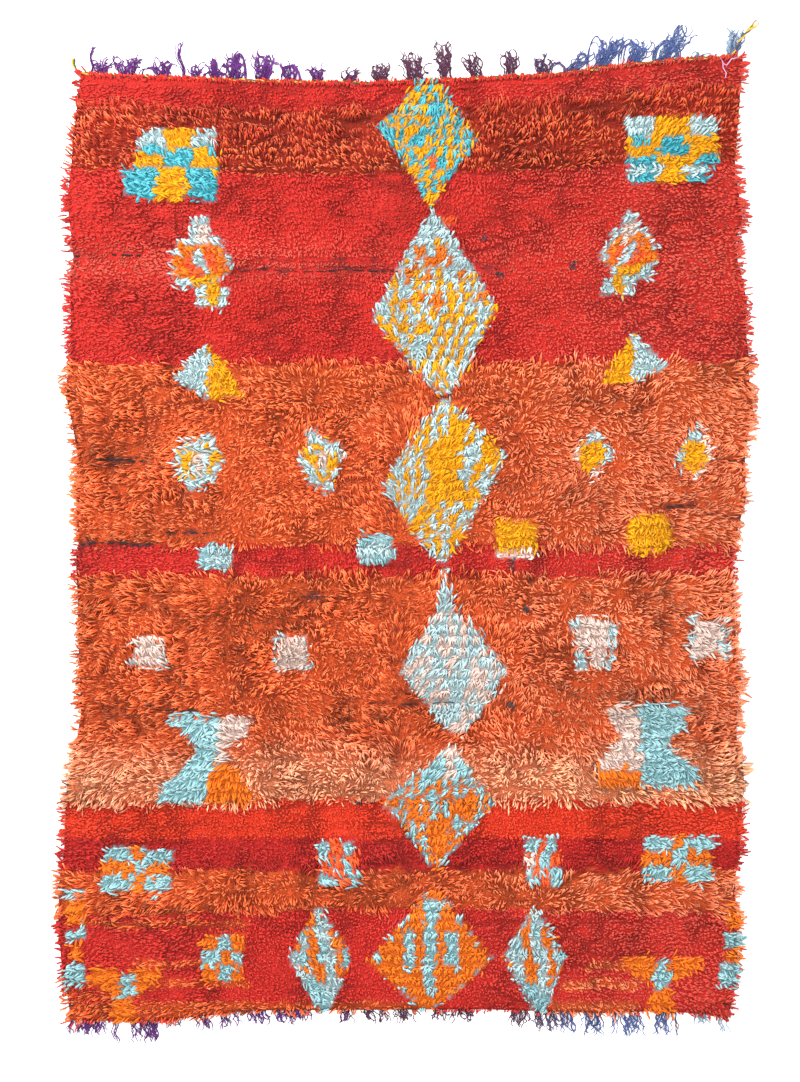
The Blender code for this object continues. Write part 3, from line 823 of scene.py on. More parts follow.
def ring(u, v):
    """A ragged pale ring round an orange one, flame inside, with a leaning pale hook, a pink crown and an
    amber stem."""
    far = np.hypot(u, v / 0.62)
    ragged = 0.93 + 0.16 * noise(u, v, 0.30, 73)
    hook = (np.abs(u + 0.9 * v) < 0.17) & (np.abs(u - v) < 0.48)
    crown = (np.abs(u - 0.02) < 0.52 - 0.34 * v) & (v > 0.45) & (v < 0.98)
    heart = (np.abs(u - 0.06) < 0.20) & (v > 0.36) & (v < 0.80)
    stem = (np.abs(u - 0.35) < 0.17) & (v < -0.45) & (v > -0.94)
    tail = (np.abs(u - 0.38) < 0.45) & (v < -0.56) & (v > -0.96)
    return pick(
        (stem, "amber"),
        (hook, "pale_aqua"),
        (heart, "pink"),
        (crown, "pale_aqua"),
        (far < 0.46, "flame"),
        (far < 0.76, np.where(v < -0.28, DYE["amber"], DYE["orange"])),
        (far < ragged, "pale_aqua"),
        (tail, "pale_aqua"),
    )


def peak(u, v):
    """A triangle, pale aqua at the left of its middle line and amber at the right."""
    pale_side = (u > (v - 1) / 1.35) & (v > -0.35 - 0.62 * (u + 1))
    amber_side = (u < (1 - v) / 1.80) & (v > -1)
    parting_line = -0.05 + 0.10 * np.abs(v)
    inside = (v < 1) & pale_side & amber_side
    return pick((inside & (u > parting_line), "amber"), (inside, "pale_aqua"))


def burst(u, v):
    """A round tuft of aqua with amber flecks and a pink heart."""
    far = np.hypot(u, v)
    flecks = (far > 0.26) & (far < 0.74) & (noise(u, v, 0.24, 74) > -0.02)
    heart = (np.hypot(u + 0.1, v) < 0.24) & (noise(u, v, 0.2, 75) > -0.35)
    return pick((heart, "pink"), (flecks, "amber"), (far < 0.88 + 0.25 * noise(u, v, 0.3, 76), "pale_aqua"))


def spark(u, v):
    """An amber heart with a pale ragged edge."""
    far = np.abs(u) + np.abs(v)
    edge = np.where(u + v < 0.1, DYE["cream"], DYE["pale_aqua"])
    return pick((np.hypot(u, v + 0.05) < 0.56, "amber"), (far < 0.92, edge))


def aqua_patch(u, v):
    """A plain rounded block of pale and middle aqua."""
    inside = u**4 + v**4 < 0.36 + 0.22 * noise(u, v, 0.35, 80)
    return pick((inside & (noise(u, v, 0.3, 78) > -0.1), "pale_aqua"), (inside, "aqua"))


def amber_patch(u, v):
    """A plain block of amber on a thin cream foot."""
    inside = (np.abs(u) < 0.98) & (np.abs(v) < 0.98)
    foot = v < -0.62 + 0.16 * noise(u, v, 0.4, 83)
    return pick((inside & foot & (np.abs(u) < 0.80), "cream"), (inside & ~foot, "amber"))


def amber_block(u, v):
    """A plain rounded block of amber."""
    return pick((u**4 + v**4 < 0.92 + 0.20 * noise(u, v, 0.35, 84), "amber"))


def pink_block(u, v):
    """Pink with ragged aqua down both sides."""
    inside = np.abs(v) < 0.80 + 0.15 * noise(u, v, 0.25, 79)
    ragged = 0.72 + 0.30 * noise(u, v, 0.25, 77)
    return pick((inside & (np.abs(u) < 0.60), "pink"), (inside & (np.abs(u) < ragged), "pale_aqua"))


def comb(u, v):
    """Pink with an aqua right side on three legs, aqua, pink and aqua."""
    inside = (np.abs(v) < 0.90) & (np.abs(u) < 0.90 + 0.15 * noise(u, v, 0.25, 81))
    legs = (v < -0.1) & (np.abs(np.sin((u + 0.1) * 4.4)) > 0.28)
    return pick(
        (inside & (v >= -0.1) & ((u > 0.60) | (u < -0.62) & (v > 0.5)), "pale_aqua"),
        (inside & (v >= -0.1) & (u > -0.7), "pink"),
        (inside & legs & (np.abs(u - 0.15) < 0.30), "pink"),
        (inside & legs & (np.abs(u - 0.1) < 0.80), "pale_aqua"),
    )


def hourglass(u, v):
    """Narrow at the waist: aqua at the left, pink over an orange foot at the right."""
    left = np.interp(v, (-0.86, 0.23, 0.91), (-1.00, -0.13, -0.80))
    split = np.interp(v, (-0.86, 0.23, 0.91), (-0.03, 0.14, 0.17))
    right = np.interp(v, (-1.0, -0.11, -0.10, 0.32, 0.57, 0.95), (1.0, 0.56, 0.39, 0.39, 0.82, 0.92))
    inside = (u > left) & (u < right) & (np.abs(v) < 0.98)
    return pick((inside & (u < split), "aqua"), (inside & (v < -0.10), "orange"), (inside, "pink"))


def turned_hourglass(u, v):
    """Narrow at the waist: pink over an orange foot at the left, aqua at the right."""
    left = np.interp(v, (-0.95, -0.38, 0.26, 0.90), (-0.94, -1.00, -0.52, -0.80))
    right = np.interp(v, (-1.0, -0.58, 0.0, 0.75), (0.94, 1.00, 0.36, 0.82))
    inside = (u > left) & (u < right) & (np.abs(v) < 0.98)
    return pick((inside & (u > -0.10), "aqua"), (inside & (v < -0.60), "orange"), (inside, "pink"))


def neck(u, v):
    """A narrow stem that widens downwards."""
    return pick(((np.abs(u) < 0.62 - 0.36 * v) & (np.abs(v) < 1), "pale_aqua"))


def wings(u, v):
    """Orange wings that narrow to an aqua waist and a flared foot."""
    wing = (v > 0.08) & (np.abs(u) < 0.34 + 0.66 * smooth((v - 0.05) / 0.55)) & (v < 0.9)
    notch = (np.abs(u) < 0.20) & (v > 0.62)
    waist = (np.abs(u) < 0.20) & (v > -0.12)
    foot = (v <= -0.12) & (v > -0.97) & (np.abs(u) < 0.22 + 0.20 * (-v - 0.12))
    return pick((notch & (v > 0.75), BARE), (waist & (v < 0.8), "aqua"), (wing, "orange"), (foot, "orange"))


DRAWN = (
    ring,
    peak,
    burst,
    spark,
    aqua_patch,
    amber_patch,
    amber_block,
    pink_block,
    comb,
    hourglass,
    turned_hourglass,
    neck,
    wings,
)
KINDS = {made.__name__: made for made in DRAWN}


def motif_dyes(kind, u, v):
    """The dyes of a motif in its own square, from -1 to 1 each way: a chart, a spot or a drawn shape."""
    if kind in CHARTS:
        return charted(u, v, CHARTS[kind])
    if kind in SPOTS:
        return pick((np.hypot(u, v) < 1, SPOTS[kind]))
    return KINDS[kind](u, v)


def dye_at(x, y, level):
    """The dye number at each point, and whether it belongs to a motif: bands first, then streaks, then
    motifs over them."""
    found = np.array([DYE[band.dye] for band in BANDS])[band_number(level)]
    ragged = 0.004 * noise(x, y, 0.03, 7)
    for streak in STREAKS:
        inside = (x > streak.left) & (x < streak.right)
        inside &= (y + ragged > streak.low) & (y + ragged < streak.high)
        found = np.where(inside, DYE[streak.dye], found)
    knotted = np.full(x.shape, BARE)
    bent_x, bent_y = x + 0.006 * noise(x, y, 0.028, 71), y + 0.006 * noise(x, y, 0.028, 72)
    for motif in MOTIFS:
        u = (bent_x - motif.x) / (motif.wide / 2) * motif.flip
        v = (bent_y - motif.y) / (motif.high / 2)
        near = (np.abs(u) < 1.3) & (np.abs(v) < 1.3)
        dyed = motif_dyes(motif.kind, u[near], v[near])
        knotted[near] = np.where(dyed > BARE, dyed, knotted[near])
    for shape in DIAMONDS:
        near = (x > shape.left_x - 0.02) & (x < shape.right_x + 0.02)
        near &= (y > shape.foot_y - 0.02) & (y < shape.top_y + 0.02)
        diamond = diamond_dyes(x[near], y[near], shape)
        knotted[near] = np.where(diamond > BARE, diamond, knotted[near])
    return np.where(knotted > BARE, knotted, found), knotted > BARE


# Yarn


def tube_faces(rings, sides, pointed):
    """Faces of one tube: a root point, rings of points and a drawn-out tip, or a flat cut end. Gives
    corner numbers, face sizes, and for each corner its place round and along the yarn and its place in a
    square of its own where no two faces overlap."""
    corners, sizes, around, steps = [], [], [], []
    for side in range(sides):
        corners += [0, 1 + (side + 1) % sides, 1 + side]
        around += [side + 0.5, side + 1, side]
        steps += [0, 1, 1]
        sizes.append(3)
    for ring_number in range(rings - 1):
        first = 1 + ring_number * sides
        for side in range(sides):
            a, b = first + side, first + (side + 1) % sides
            corners += [a, b, b + sides, a + sides]
            around += [side, side + 1, side + 1, side]
            steps += [ring_number + 1, ring_number + 1, ring_number + 2, ring_number + 2]
            sizes.append(4)
    last = 1 + (rings - 1) * sides
    if pointed:
        for side in range(sides):
            corners += [last + side, last + (side + 1) % sides, last + sides]
            around += [side, side + 1, side + 0.5]
            steps += [rings, rings, rings + 1]
            sizes.append(3)
    around, steps = np.array(around, float) / sides, np.array(steps, int)
    bake = np.stack([0.02 + 0.72 * around, 0.02 + 0.96 * steps / steps.max()], -1)
    if not pointed:
        turns = np.arange(sides) / sides
        corners += [last + side for side in range(sides)]
        sizes.append(sides)
        cap = np.stack([0.87 + 0.1 * np.cos(turns * math.tau), 0.5 + 0.4 * np.sin(turns * math.tau)], -1)
        bake = np.concatenate([bake, cap])
        around, steps = np.append(around, turns), np.append(steps, [rings] * sides)
    return np.array(corners), np.array(sizes), around, steps, bake


UP = np.array([[[0.0, 0.0, 1.0]]])


def tube_points(path, radius, beside, sides, twist, pointed):
    """Points of many tubes at once: at each step of a path a ring stands square to the path, turned by a
    twist. beside is a direction square to the path, and the other direction follows from both."""
    ahead = np.gradient(path, axis=1)
    ahead /= np.linalg.norm(ahead, axis=2, keepdims=True) + 1e-12
    side = beside - ahead * np.sum(ahead * beside, axis=2, keepdims=True)
    side /= np.linalg.norm(side, axis=2, keepdims=True) + 1e-12
    up = np.cross(ahead, side)
    turn = twist[..., None] + np.arange(sides) / sides * math.tau
    ring_points = side[:, :, None] * np.cos(turn)[..., None] + up[:, :, None] * np.sin(turn)[..., None]
    rings = path[:, :, None] + ring_points * radius[:, :, None, None]
    if pointed:
        rings = rings[:, 1:-1].reshape(len(path), -1, 3)
        return np.concatenate([path[:, :1], rings, path[:, -1:]], axis=1)
    return np.concatenate([path[:, :1], rings[:, 1:].reshape(len(path), -1, 3)], axis=1)


Yarns = namedtuple("Yarns", "points sides along colour pointed")


def write_mesh(name, points, corners, sizes, flat=None):
    """A mesh object at the origin, from arrays of points, corner numbers and face sizes."""
    mesh = bpy.data.meshes.new(name)
    mesh.vertices.add(len(points))
    mesh.vertices.foreach_set("co", points.astype(np.float32).ravel())
    mesh.loops.add(len(corners))
    mesh.loops.foreach_set("vertex_index", corners.astype(np.int32))
    mesh.polygons.add(len(sizes))
    mesh.polygons.foreach_set("loop_start", (np.cumsum(sizes) - sizes).astype(np.int32))
    smooth_faces = np.ones(len(sizes), bool) if flat is None else ~flat
    mesh.polygons.foreach_set("use_smooth", smooth_faces)
    mesh.update(calc_edges=True)
    made = bpy.data.objects.new(name, mesh)
    bpy.context.scene.collection.objects.link(made)
    return made


def dress(piece, node):
    """Hangs a piece on the rug's one body, in place of a solid that it hides."""
    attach(piece, "root")
    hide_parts(node)


def paint(piece, colour, domain, repeat=1):
    """Stores a dye for each point or corner of a piece."""
    full = np.concatenate([colour, np.ones((len(colour), 1))], axis=1)
    stored = piece.data.attributes.new("dye", "FLOAT_COLOR", domain)
    stored.data.foreach_set("color", np.repeat(full, repeat, axis=0).astype(np.float32).ravel())


Grid = namedtuple("Grid", "level across x y faces rim")


def cloth_grid(cell):
    """A grid over the cloth with its points about a cell apart, its faces, and the numbers of the points
    round its rim."""
    columns = round((side_x(0.0, "right") - side_x(0.0, "left")) / cell)
    rows = round((UPPER_LEVEL - LOWER_LEVEL) / cell)
    levels, places = np.linspace(LOWER_LEVEL, UPPER_LEVEL, rows + 1), np.linspace(0, 1, columns + 1)
    level, across = np.meshgrid(levels, places, indexing="ij")
    number = np.arange(level.size).reshape(level.shape)
    a, b, c, d = number[:-1, :-1], number[:-1, 1:], number[1:, 1:], number[1:, :-1]
    rim = np.concatenate([number[0, :], number[1:, -1], number[-1, -2::-1], number[-2:0:-1, 0]])
    return Grid(level, across, *place(across, level), np.stack([a, b, c, d], -1).reshape(-1, 4), rim)


def write_yarns(name, batches, material):
    """One object of many yarns: their points, faces, colours, and two maps. The map named yarn has the
    place round and along each yarn. The map named OFBake has a square of its own for each."""
    count = sum(len(batch.points) for batch in batches)
    squares = math.ceil(math.sqrt(count))
    parts = {key: [] for key in ("points", "corners", "sizes", "flat", "yarn", "bake", "colour")}
    first_point, first_yarn = 0, 0
    for batch in batches:
        total, size = batch.points.shape[:2]
        rings = (size - 1) // batch.sides
        corners, sizes, around, steps, bake = tube_faces(rings, batch.sides, batch.pointed)
        numbers = np.arange(total)
        parts["points"].append(batch.points.reshape(-1, 3))
        parts["corners"].append((corners[None] + numbers[:, None] * size + first_point).ravel())
        parts["sizes"].append(np.tile(sizes, total))
        cut_end = (np.arange(len(sizes)) == len(sizes) - 1) & (not batch.pointed)
        parts["flat"].append(np.tile(cut_end, total))
        along = np.asarray(batch.along)[steps]
        parts["yarn"].append(np.tile(np.stack([around, along], -1), (total, 1)))
        square = numbers + first_yarn
        corner = np.stack([square % squares, square // squares], -1)
        parts["bake"].append(((corner[:, None] + bake[None]) / squares).reshape(-1, 2))
        parts["colour"].append(np.repeat(batch.colour, size, axis=0))
        first_point += total * size
        first_yarn += total
    joined = {key: np.concatenate(value) for key, value in parts.items()}
    made = write_mesh(name, joined["points"], joined["corners"], joined["sizes"], joined["flat"])
    for layer, key in (("yarn", "yarn"), ("OFBake", "bake")):
        made.data.uv_layers.new(name=layer).data.foreach_set("uv", joined[key].astype(np.float32).ravel())
    stored = made.data.attributes.new("dye", "FLOAT_COLOR", "POINT")
    stored.data.foreach_set("color", joined["colour"].astype(np.float32).ravel())
    made.data.materials.append(material)
    return made


# Materials


class Nodes:
    """Short ways to add and join the nodes of one material."""

    def __init__(self, name):
        self.material = bpy.data.materials.new(name)
        self.material.use_nodes = True
        self.tree = self.material.node_tree
        self.surface = self.tree.nodes["Principled BSDF"]

    def put(self, socket, value):
        """Joins a socket to a node's output, or gives it a plain value."""
        if isinstance(value, bpy.types.NodeSocket):
            self.tree.links.new(value, socket)
        else:
            socket.default_value = value

    def add(self, kind, inputs=(), **settings):
        """A new node with its settings and its inputs, given by name or number."""
        node = self.tree.nodes.new(kind)
        for key, value in settings.items():
            setattr(node, key, value)
        for key, value in dict(inputs).items():
            self.put(node.inputs[key], value)
        return node

    def sum(self, operation, *values):
        """A sum of plain numbers or outputs."""
        return self.add("ShaderNodeMath", dict(enumerate(values)), operation=operation).outputs[0]

    def mix(self, factor, first, second, blend="MIX"):
        """A mix of two colours."""
        node = self.add("ShaderNodeMix", data_type="RGBA", blend_type=blend)
        self.put(node.inputs["Factor"], factor)
        self.put(node.inputs[6], first)
        self.put(node.inputs[7], second)
        return node.outputs[2]

    def noise(self, scale, detail):
        """Noise in the object's own space."""
        place = self.add("ShaderNodeTexCoord").outputs["Object"]
        return self.add("ShaderNodeTexNoise", {"Vector": place, "Scale": scale, "Detail": detail}).outputs[0]

    def finished(self, colour, height, strength, distance, **values):
        """The material with its colour, a bump from a height, and plain values by name."""
        bump = self.add("ShaderNodeBump", {"Strength": strength, "Distance": distance, "Height": height})
        self.put(self.surface.inputs["Base Color"], colour)
        self.put(self.surface.inputs["Normal"], bump.outputs[0])
        for key, value in values.items():
            self.put(self.surface.inputs[key.replace("_", " ")], value)
        return self.material

    def ramp(self, value, low, high, first=0.0, last=1.0):
        """A smooth change from first to last as a value goes from low to high."""
        inputs = {"Value": value, "From Min": low, "From Max": high, "To Min": first, "To Max": last}
        return self.add("ShaderNodeMapRange", inputs, interpolation_type="SMOOTHSTEP").outputs[0]


def wool(name, root_shade, twist_turns, plies):
    """Spun wool with painted shade at its root and a paler tip, where faded wool and painted highlights are
    mixed in, with the twist of its plies and fine hairs. The twist is a sine of the place round the yarn
    times its plies plus the place along it, and is also painted shade in the grooves between the plies."""
    nodes = Nodes(name)
    dye_node = nodes.add("ShaderNodeAttribute", attribute_name="dye")
    place_on_yarn = nodes.add("ShaderNodeUVMap", uv_map="yarn").outputs[0]
    parts = nodes.add("ShaderNodeSeparateXYZ", {0: place_on_yarn})
    around, along = parts.outputs[0], parts.outputs[1]
    phase = nodes.sum("ADD", nodes.sum("MULTIPLY", around, plies), nodes.sum("MULTIPLY", along, twist_turns))
    twist = nodes.sum("SINE", nodes.sum("MULTIPLY", phase, math.tau))
    hairs, patches = nodes.noise(900.0, 2.0), nodes.noise(60.0, 3.0)

    pale = nodes.add("ShaderNodeGamma", {0: dye_node.outputs["Color"], 1: 0.55}).outputs[0]
    # Paler tips: partly faded wool, partly painted highlights, as much as the dye's alpha says.
    tip_fade_and_highlight = nodes.sum("MULTIPLY", nodes.ramp(along, 0.45, 1.0), dye_node.outputs["Alpha"])
    colour = nodes.mix(tip_fade_and_highlight, dye_node.outputs["Color"], pale)
    # Painted shade: darker towards the root, deep in the pile.
    shade = nodes.ramp(along, 0.0, 0.75, root_shade, 1.0)
    # Painted shade in the grooves between the plies, from the twist.
    shade = nodes.sum("MULTIPLY", shade, nodes.ramp(twist, -1.0, 1.0, 0.86, 1.04))
    shade = nodes.sum("MULTIPLY", shade, nodes.ramp(patches, 0.3, 0.7, 0.88, 1.08))
    colour = nodes.mix(1.0, colour, shade, "MULTIPLY")
    height = nodes.sum("ADD", nodes.sum("MULTIPLY", twist, 0.5), hairs)
    sheen = {"Sheen_Weight": 0.05, "Sheen_Roughness": 0.45, "Sheen_Tint": (1.0, 0.85, 0.78, 1.0)}
    return nodes.finished(colour, height, 0.5, 0.0008, Roughness=0.88, Specular_IOR_Level=0.15, **sheen)


def matted_wool(name):
    """The dense foot of the pile: the stored colours under painted shade, deepest in the hollows of two
    noises, with fine hairs in the bump."""
    nodes = Nodes(name)
    dye_node = nodes.add("ShaderNodeAttribute", attribute_name="dye")
    strands, hairs = nodes.noise(260.0, 3.0), nodes.noise(900.0, 2.0)
    # Painted shade: the whole bed at 0.28 to 0.62 of its colour, darkest in the hollows of the strands noise.
    hollows, fine = nodes.ramp(strands, 0.35, 0.62, 0.28, 0.62), nodes.ramp(hairs, 0.3, 0.7, 0.85, 1.05)
    colour = nodes.mix(1.0, dye_node.outputs["Color"], nodes.sum("MULTIPLY", hollows, fine), "MULTIPLY")
    height = nodes.sum("ADD", strands, nodes.sum("MULTIPLY", hairs, 0.4))
    return nodes.finished(colour, height, 0.8, 0.003, Roughness=0.92, Specular_IOR_Level=0.2)


def weave(name, weft, warp):
    """Plain weave: weft rows over and under warps, as the product of two sines, in the stored colours, with
    painted shade where the threads pass under.
    """
    nodes = Nodes(name)
    dye_node = nodes.add("ShaderNodeAttribute", attribute_name="dye")
    objects = nodes.add("ShaderNodeTexCoord").outputs["Object"]
    parts = nodes.add("ShaderNodeSeparateXYZ", {0: objects})
    across = nodes.sum("SINE", nodes.sum("MULTIPLY", parts.outputs[0], math.tau / warp))
    rows = nodes.sum("SINE", nodes.sum("MULTIPLY", parts.outputs[1], math.tau / weft))
    over = nodes.sum("MULTIPLY", across, rows)
    fuzz = nodes.noise(500.0, 3.0)
    # Painted shade where the threads pass under.
    woven, fine = nodes.ramp(over, -1.0, 1.0, 0.6, 1.05), nodes.ramp(fuzz, 0.3, 0.7, 0.85, 1.1)
    colour = nodes.mix(1.0, dye_node.outputs["Color"], nodes.sum("MULTIPLY", woven, fine), "MULTIPLY")
    height = nodes.sum("ADD", over, nodes.sum("MULTIPLY", fuzz, 0.5))
    return nodes.finished(colour, height, 0.6, 0.001, Roughness=0.9, Specular_IOR_Level=0.2)


# Pile


def knots(pitch, gap, rng):
    """Yarn ends of every knot: rows of knots, each a little off its place, with two ends side by side.
    Gives their place across the rug and level, from 0 to 1 and in metres."""
    rows = round((UPPER_LEVEL - LOWER_LEVEL) / pitch)
    width = side_x(0.0, "right") - side_x(0.0, "left")
    columns = round(width / pitch)
    row, knot, end = np.meshgrid(np.arange(rows), np.arange(columns), np.arange(2), indexing="ij")
    stray = rng.uniform(-0.42, 0.42, (2, *row.shape))
    level = LOWER_LEVEL + (row + 0.5 + stray[0]) * pitch
    shift = 0.25 * (row % 2)
    across = (knot + 0.375 + shift + stray[1] * 0.6 + (end - 0.5) * gap / pitch) / columns
    keep = (across > 0) & (across < 1)
    return across[keep], level[keep]


def waver(parting, x):
    """Where up the rug a parting's line runs, as it wanders a little."""
    return parting.y + 0.004 * noise(x, x * 0, 0.05, 18)


def parted(x, y, spare=0.0):
    """How far the pile is parted at each point, 1 on a parting's line and 0 away from it: bells across
    the line, wider by what is spare, broken up by noise along it."""
    open_part = np.zeros_like(x)
    for parting in PARTINGS:
        within = smooth((x - parting.left) / 0.02) * smooth((parting.right - x) / 0.02)
        broken = smooth(0.6 + 1.6 * noise(x, y * 0 + parting.y, 0.025, 17))
        wander = waver(parting, x)
        bell = np.exp(-(((y - wander) / (parting.gap + spare)) ** 2))
        open_part = np.maximum(open_part, within * broken * bell)
    return open_part


def clear_of_partings(x, root_y, tip_y):
    """Tips' places up the rug, moved so that none lies over a parting: each stays on its root's side."""
    for parting in PARTINGS:
        within = (x > parting.left) & (x < parting.right)
        wander = waver(parting, x)
        side = np.where(root_y > wander, 1.0, -1.0)
        near = within & (np.abs(root_y - wander) < 0.05)
        clear = np.maximum((tip_y - wander) * side, 0.7 * parting.gap)
        tip_y = np.where(near, wander + side * clear, tip_y)
    return tip_y


def lie(x, y, level):
    """Which way the pile leans, as a vector about 1 long: out at the sides, away from the folds, up in
    the middle, over the short bands at the edges of the long ones, and wandering everywhere."""
    right = smooth((x - 0.30) / 0.40) - smooth((-0.25 - x) / 0.40)
    for fold in FOLDS:
        within = smooth((y - fold.low) / 0.06) * smooth((fold.high - y) / 0.06)
        side = np.clip((x - fold.x) / 0.012, -1, 1)
        right = right + fold.pull * side * within * np.exp(-np.abs(x - fold.x) / fold.spread)
    up = 0.75 * np.exp(-(((x - 0.03) / 0.30) ** 2))
    number = band_number(level)
    starts = column(BANDS, "start")
    stops = np.append(starts[1:], LOWER_LEVEL)
    long_cut = is_long(number)
    to_top, to_foot = starts[number] - level, level - stops[number]
    splay = np.exp(-to_top / 0.022) - 1.1 * np.exp(-to_foot / 0.022)
    up = up + np.where(long_cut, splay, 0.2 * splay)
    up = up + 0.9 * smooth((level - UPPER_LEVEL + 0.02) / 0.02)
    up = up - 0.7 * smooth((LOWER_LEVEL + 0.02 - level) / 0.02)
    wander = np.where(long_cut, 0.75, 0.45)
    right = right + wander * noise(x, y, 0.085, 11) + 0.35 * noise(x, y, 0.035, 12)
    up = up + wander * noise(x, y, 0.085, 13) + 0.35 * noise(x, y, 0.035, 14) - 0.12
    upright = np.array([band.name == "dark_band" for band in BANDS])[number]
    right, up = np.where(upright, 0.45 * right, right), np.where(upright, 0.5 * up + 0.45, up)
    for parting in PARTINGS:
        within = smooth((x - parting.left + 0.02) / 0.02) * smooth((parting.right + 0.02 - x) / 0.02)
        near = within * np.exp(-(((y - parting.y) / 0.012) ** 2))
        up = up * (1 - near) + 0.7 * np.sign(y - parting.y) * near
    size = np.hypot(right, up) + 1e-9
    strength = np.clip(size, 0.55, 1.0) / size
    return right * strength, up * strength


def cracks(root_x, root_y, tip_x, tip_y, wide, high, margin, seed):
    """How far tips draw back from the cracks between clods, so that each stays over its root's own clod,
    and how near each is to a crack. Noise breaks the cracks up along their length."""
    own = clods(root_x, root_y, wide, high, seed)
    other = clods(tip_x, tip_y, wide, high, seed, own)
    own_away = np.hypot((own.x - tip_x) / wide, (own.y - tip_y) / high)
    inside = (other.away - own_away) / 2 * high
    broken = smooth(0.45 + 1.3 * noise(tip_x, tip_y, wide, seed + 2))
    back = np.clip(margin * broken - inside, 0, 0.03) * broken
    run_x, run_y = own.x - other.x, own.y - other.y
    run = np.hypot(run_x, run_y) + 1e-9
    near = broken * np.exp(-((np.maximum(inside, 0) / (1.5 * margin)) ** 2))
    return run_x / run * back, run_y / run * back, near


def faded_foot(x, y):
    """How far the rust wool is faded: most at the foot of the lower rust band, from an uneven line down."""
    start = -0.505 + 0.030 * noise(x, y * 0, 0.16, 25)
    return smooth((start - y) / 0.11) * (y > -0.69)


def yarn_colours(dyes, number, x, y, lock_mark, crease, rng):
    """Colour of each yarn end: its dye, lighter or darker by row, by lock and by chance, and darker as
    painted shade in troughs and near cracks. The fourth value is how pale its tip is."""
    colour = colours_of(dyes, DYES)[number]
    rows = noise(x, y * 14, 0.42, 21) + 0.6 * noise(x * 1.5, y * 30, 0.42, 22)
    faded = np.isin(number, [DYE["rust"], DYE["dark_rust"]])
    patches = noise(x, y, 0.055, 23) + 0.9 * noise(x, y, 0.026, 24)
    strong = np.where(y > 0, 0.65, 1.0 - 0.1 * faded_foot(x, y))
    # Each lock lighter or darker: partly a change of tone, partly painted light and shade on whole locks.
    shade = 1 + 0.08 * rows + np.where(faded, 0.46 * strong, 0.10) * (lock_mark - 0.5)
    shade += rng.normal(0, 1, len(x)) * np.where(faded, 0.12 * strong, 0.045)
    # Painted shade: darker in the troughs of partings and folds and near the cracks between clods. The
    # patches are partly tone and partly painted light and shade on lumps of pile.
    painted_trough_shade = np.where(faded, 40, 28) * trough_depth(x, y)
    shade += np.where(faded, 0.13 * strong, 0.04) * patches - painted_trough_shade - np.where(faded, 0.30, 0.24) * crease
    # How pale each tip is: faded wool tips, with painted highlights on tips and on whole locks.
    tip = 0.40 + 0.80 * rng.random(len(x)) ** 2 + 0.20 * rows + 0.50 * (lock_mark - 0.5)
    pale_dyes = [DYE["pale_aqua"], DYE["aqua"], DYE["turquoise"], DYE["pink"], DYE["cream"]]
    tip = np.where(faded, tip, tip * np.where(np.isin(number, pale_dyes), 0.60, 0.22))
    near_foot = faded_foot(x, y) * rng.uniform(0.35, 1.0, len(x))
    right_side = smooth((x - 0.05) / 0.5)
    peach = np.where(number == DYE["rust"], 0.90 * near_foot + 0.20 * right_side, 0)
    salmon = np.exp(-(((y - 0.655) / 0.045) ** 2)) * (0.35 + 0.65 * smooth((-0.1 - x) / 0.3))
    blush = np.where(number == DYE["red"], 0.45 * salmon + 0.22 * right_side, 0)
    # Lighter rust strands in the dark band, more of them lower down: partly mixed yarn, partly painted
    # highlights.
    chance = 0.16 + 0.25 * rows + 2.2 * (1.0 - y)
    bright = (number == DYE["dark_rust"]) & (rng.random(len(x)) < chance)
    for amount, name in ((peach, "peach"), (blush, "salmon"), (0.65 * bright, "rust")):
        amount = np.clip(amount, 0, 1)[:, None]
        colour = colour * (1 - amount) + colours_of(dyes, [name]) * amount
    tip = np.where(bright, tip + 0.2, tip)
    return np.concatenate([np.clip(colour * shade[:, None], 0, 1), np.clip(tip, 0, 1)[:, None]], axis=1)


def grow_yarns(x, y, height, right, up, reach, thick, profile, rng):
    """Paths and widths of yarn ends: each rises from its root and lies over, with a small sideways wave.
    The profile gives, at each step, how far out it is, how high, how wide, and where along the yarn."""
    total = len(x)
    out, rise, wide, along = (np.array(row) for row in zip(*profile))
    path = np.zeros((total, len(out), 3))
    wave = rng.normal(0, 0.11, (total, 1)) * np.sin(np.pi * along)[None] * reach[:, None]
    path[..., 0] = x[:, None] + right[:, None] * out - up[:, None] * wave / np.maximum(reach[:, None], 1e-4)
    path[..., 1] = y[:, None] + up[:, None] * out + right[:, None] * wave / np.maximum(reach[:, None], 1e-4)
    path[..., 2] = height[0][:, None] + (height[1] - height[0])[:, None] * rise
    beside = np.stack([-up, right, np.zeros_like(up)], -1)
    beside /= np.linalg.norm(beside, axis=1, keepdims=True) + 1e-9
    twist = rng.uniform(0, math.tau, (total, 1)) + along[None] * 1.0
    radius = thick[:, None] / 2 * wide
    return tube_points(path, radius, beside[:, None], 3, twist, True), along


# The along value of each step also sets the painted root shade and the pale tip, so ends that start further
# along are lighter at the root.
Step = namedtuple("Step", "out rise wide along")
LONG_END = [
    Step(0.00, 0.00, 0.0, 0.0),
    Step(0.26, 0.74, 1.00, 0.33),
    Step(0.72, 0.98, 0.98, 0.72),
    Step(1.00, 0.96, 0.00, 1.0),
]
MOTIF_END = [
    Step(0.00, 0.00, 0.0, 0.46),
    Step(0.30, 0.66, 1.20, 0.60),
    Step(0.72, 0.93, 1.20, 0.80),
    Step(1.00, 1.00, 0.00, 1.00),
]
SHORT_END = [
    Step(0.00, 0.00, 0.0, 0.25),
    Step(0.52, 0.90, 1.25, 0.66),
    Step(1.00, 1.00, 0.00, 1.0),
]
SIDE_END = [
    Step(0.00, 0.00, 0.0, 0.15),
    Step(0.42, 0.80, 1.10, 0.50),
    Step(0.90, 0.96, 0.95, 0.86),
    Step(1.00, 0.92, 0.00, 1.0),
]


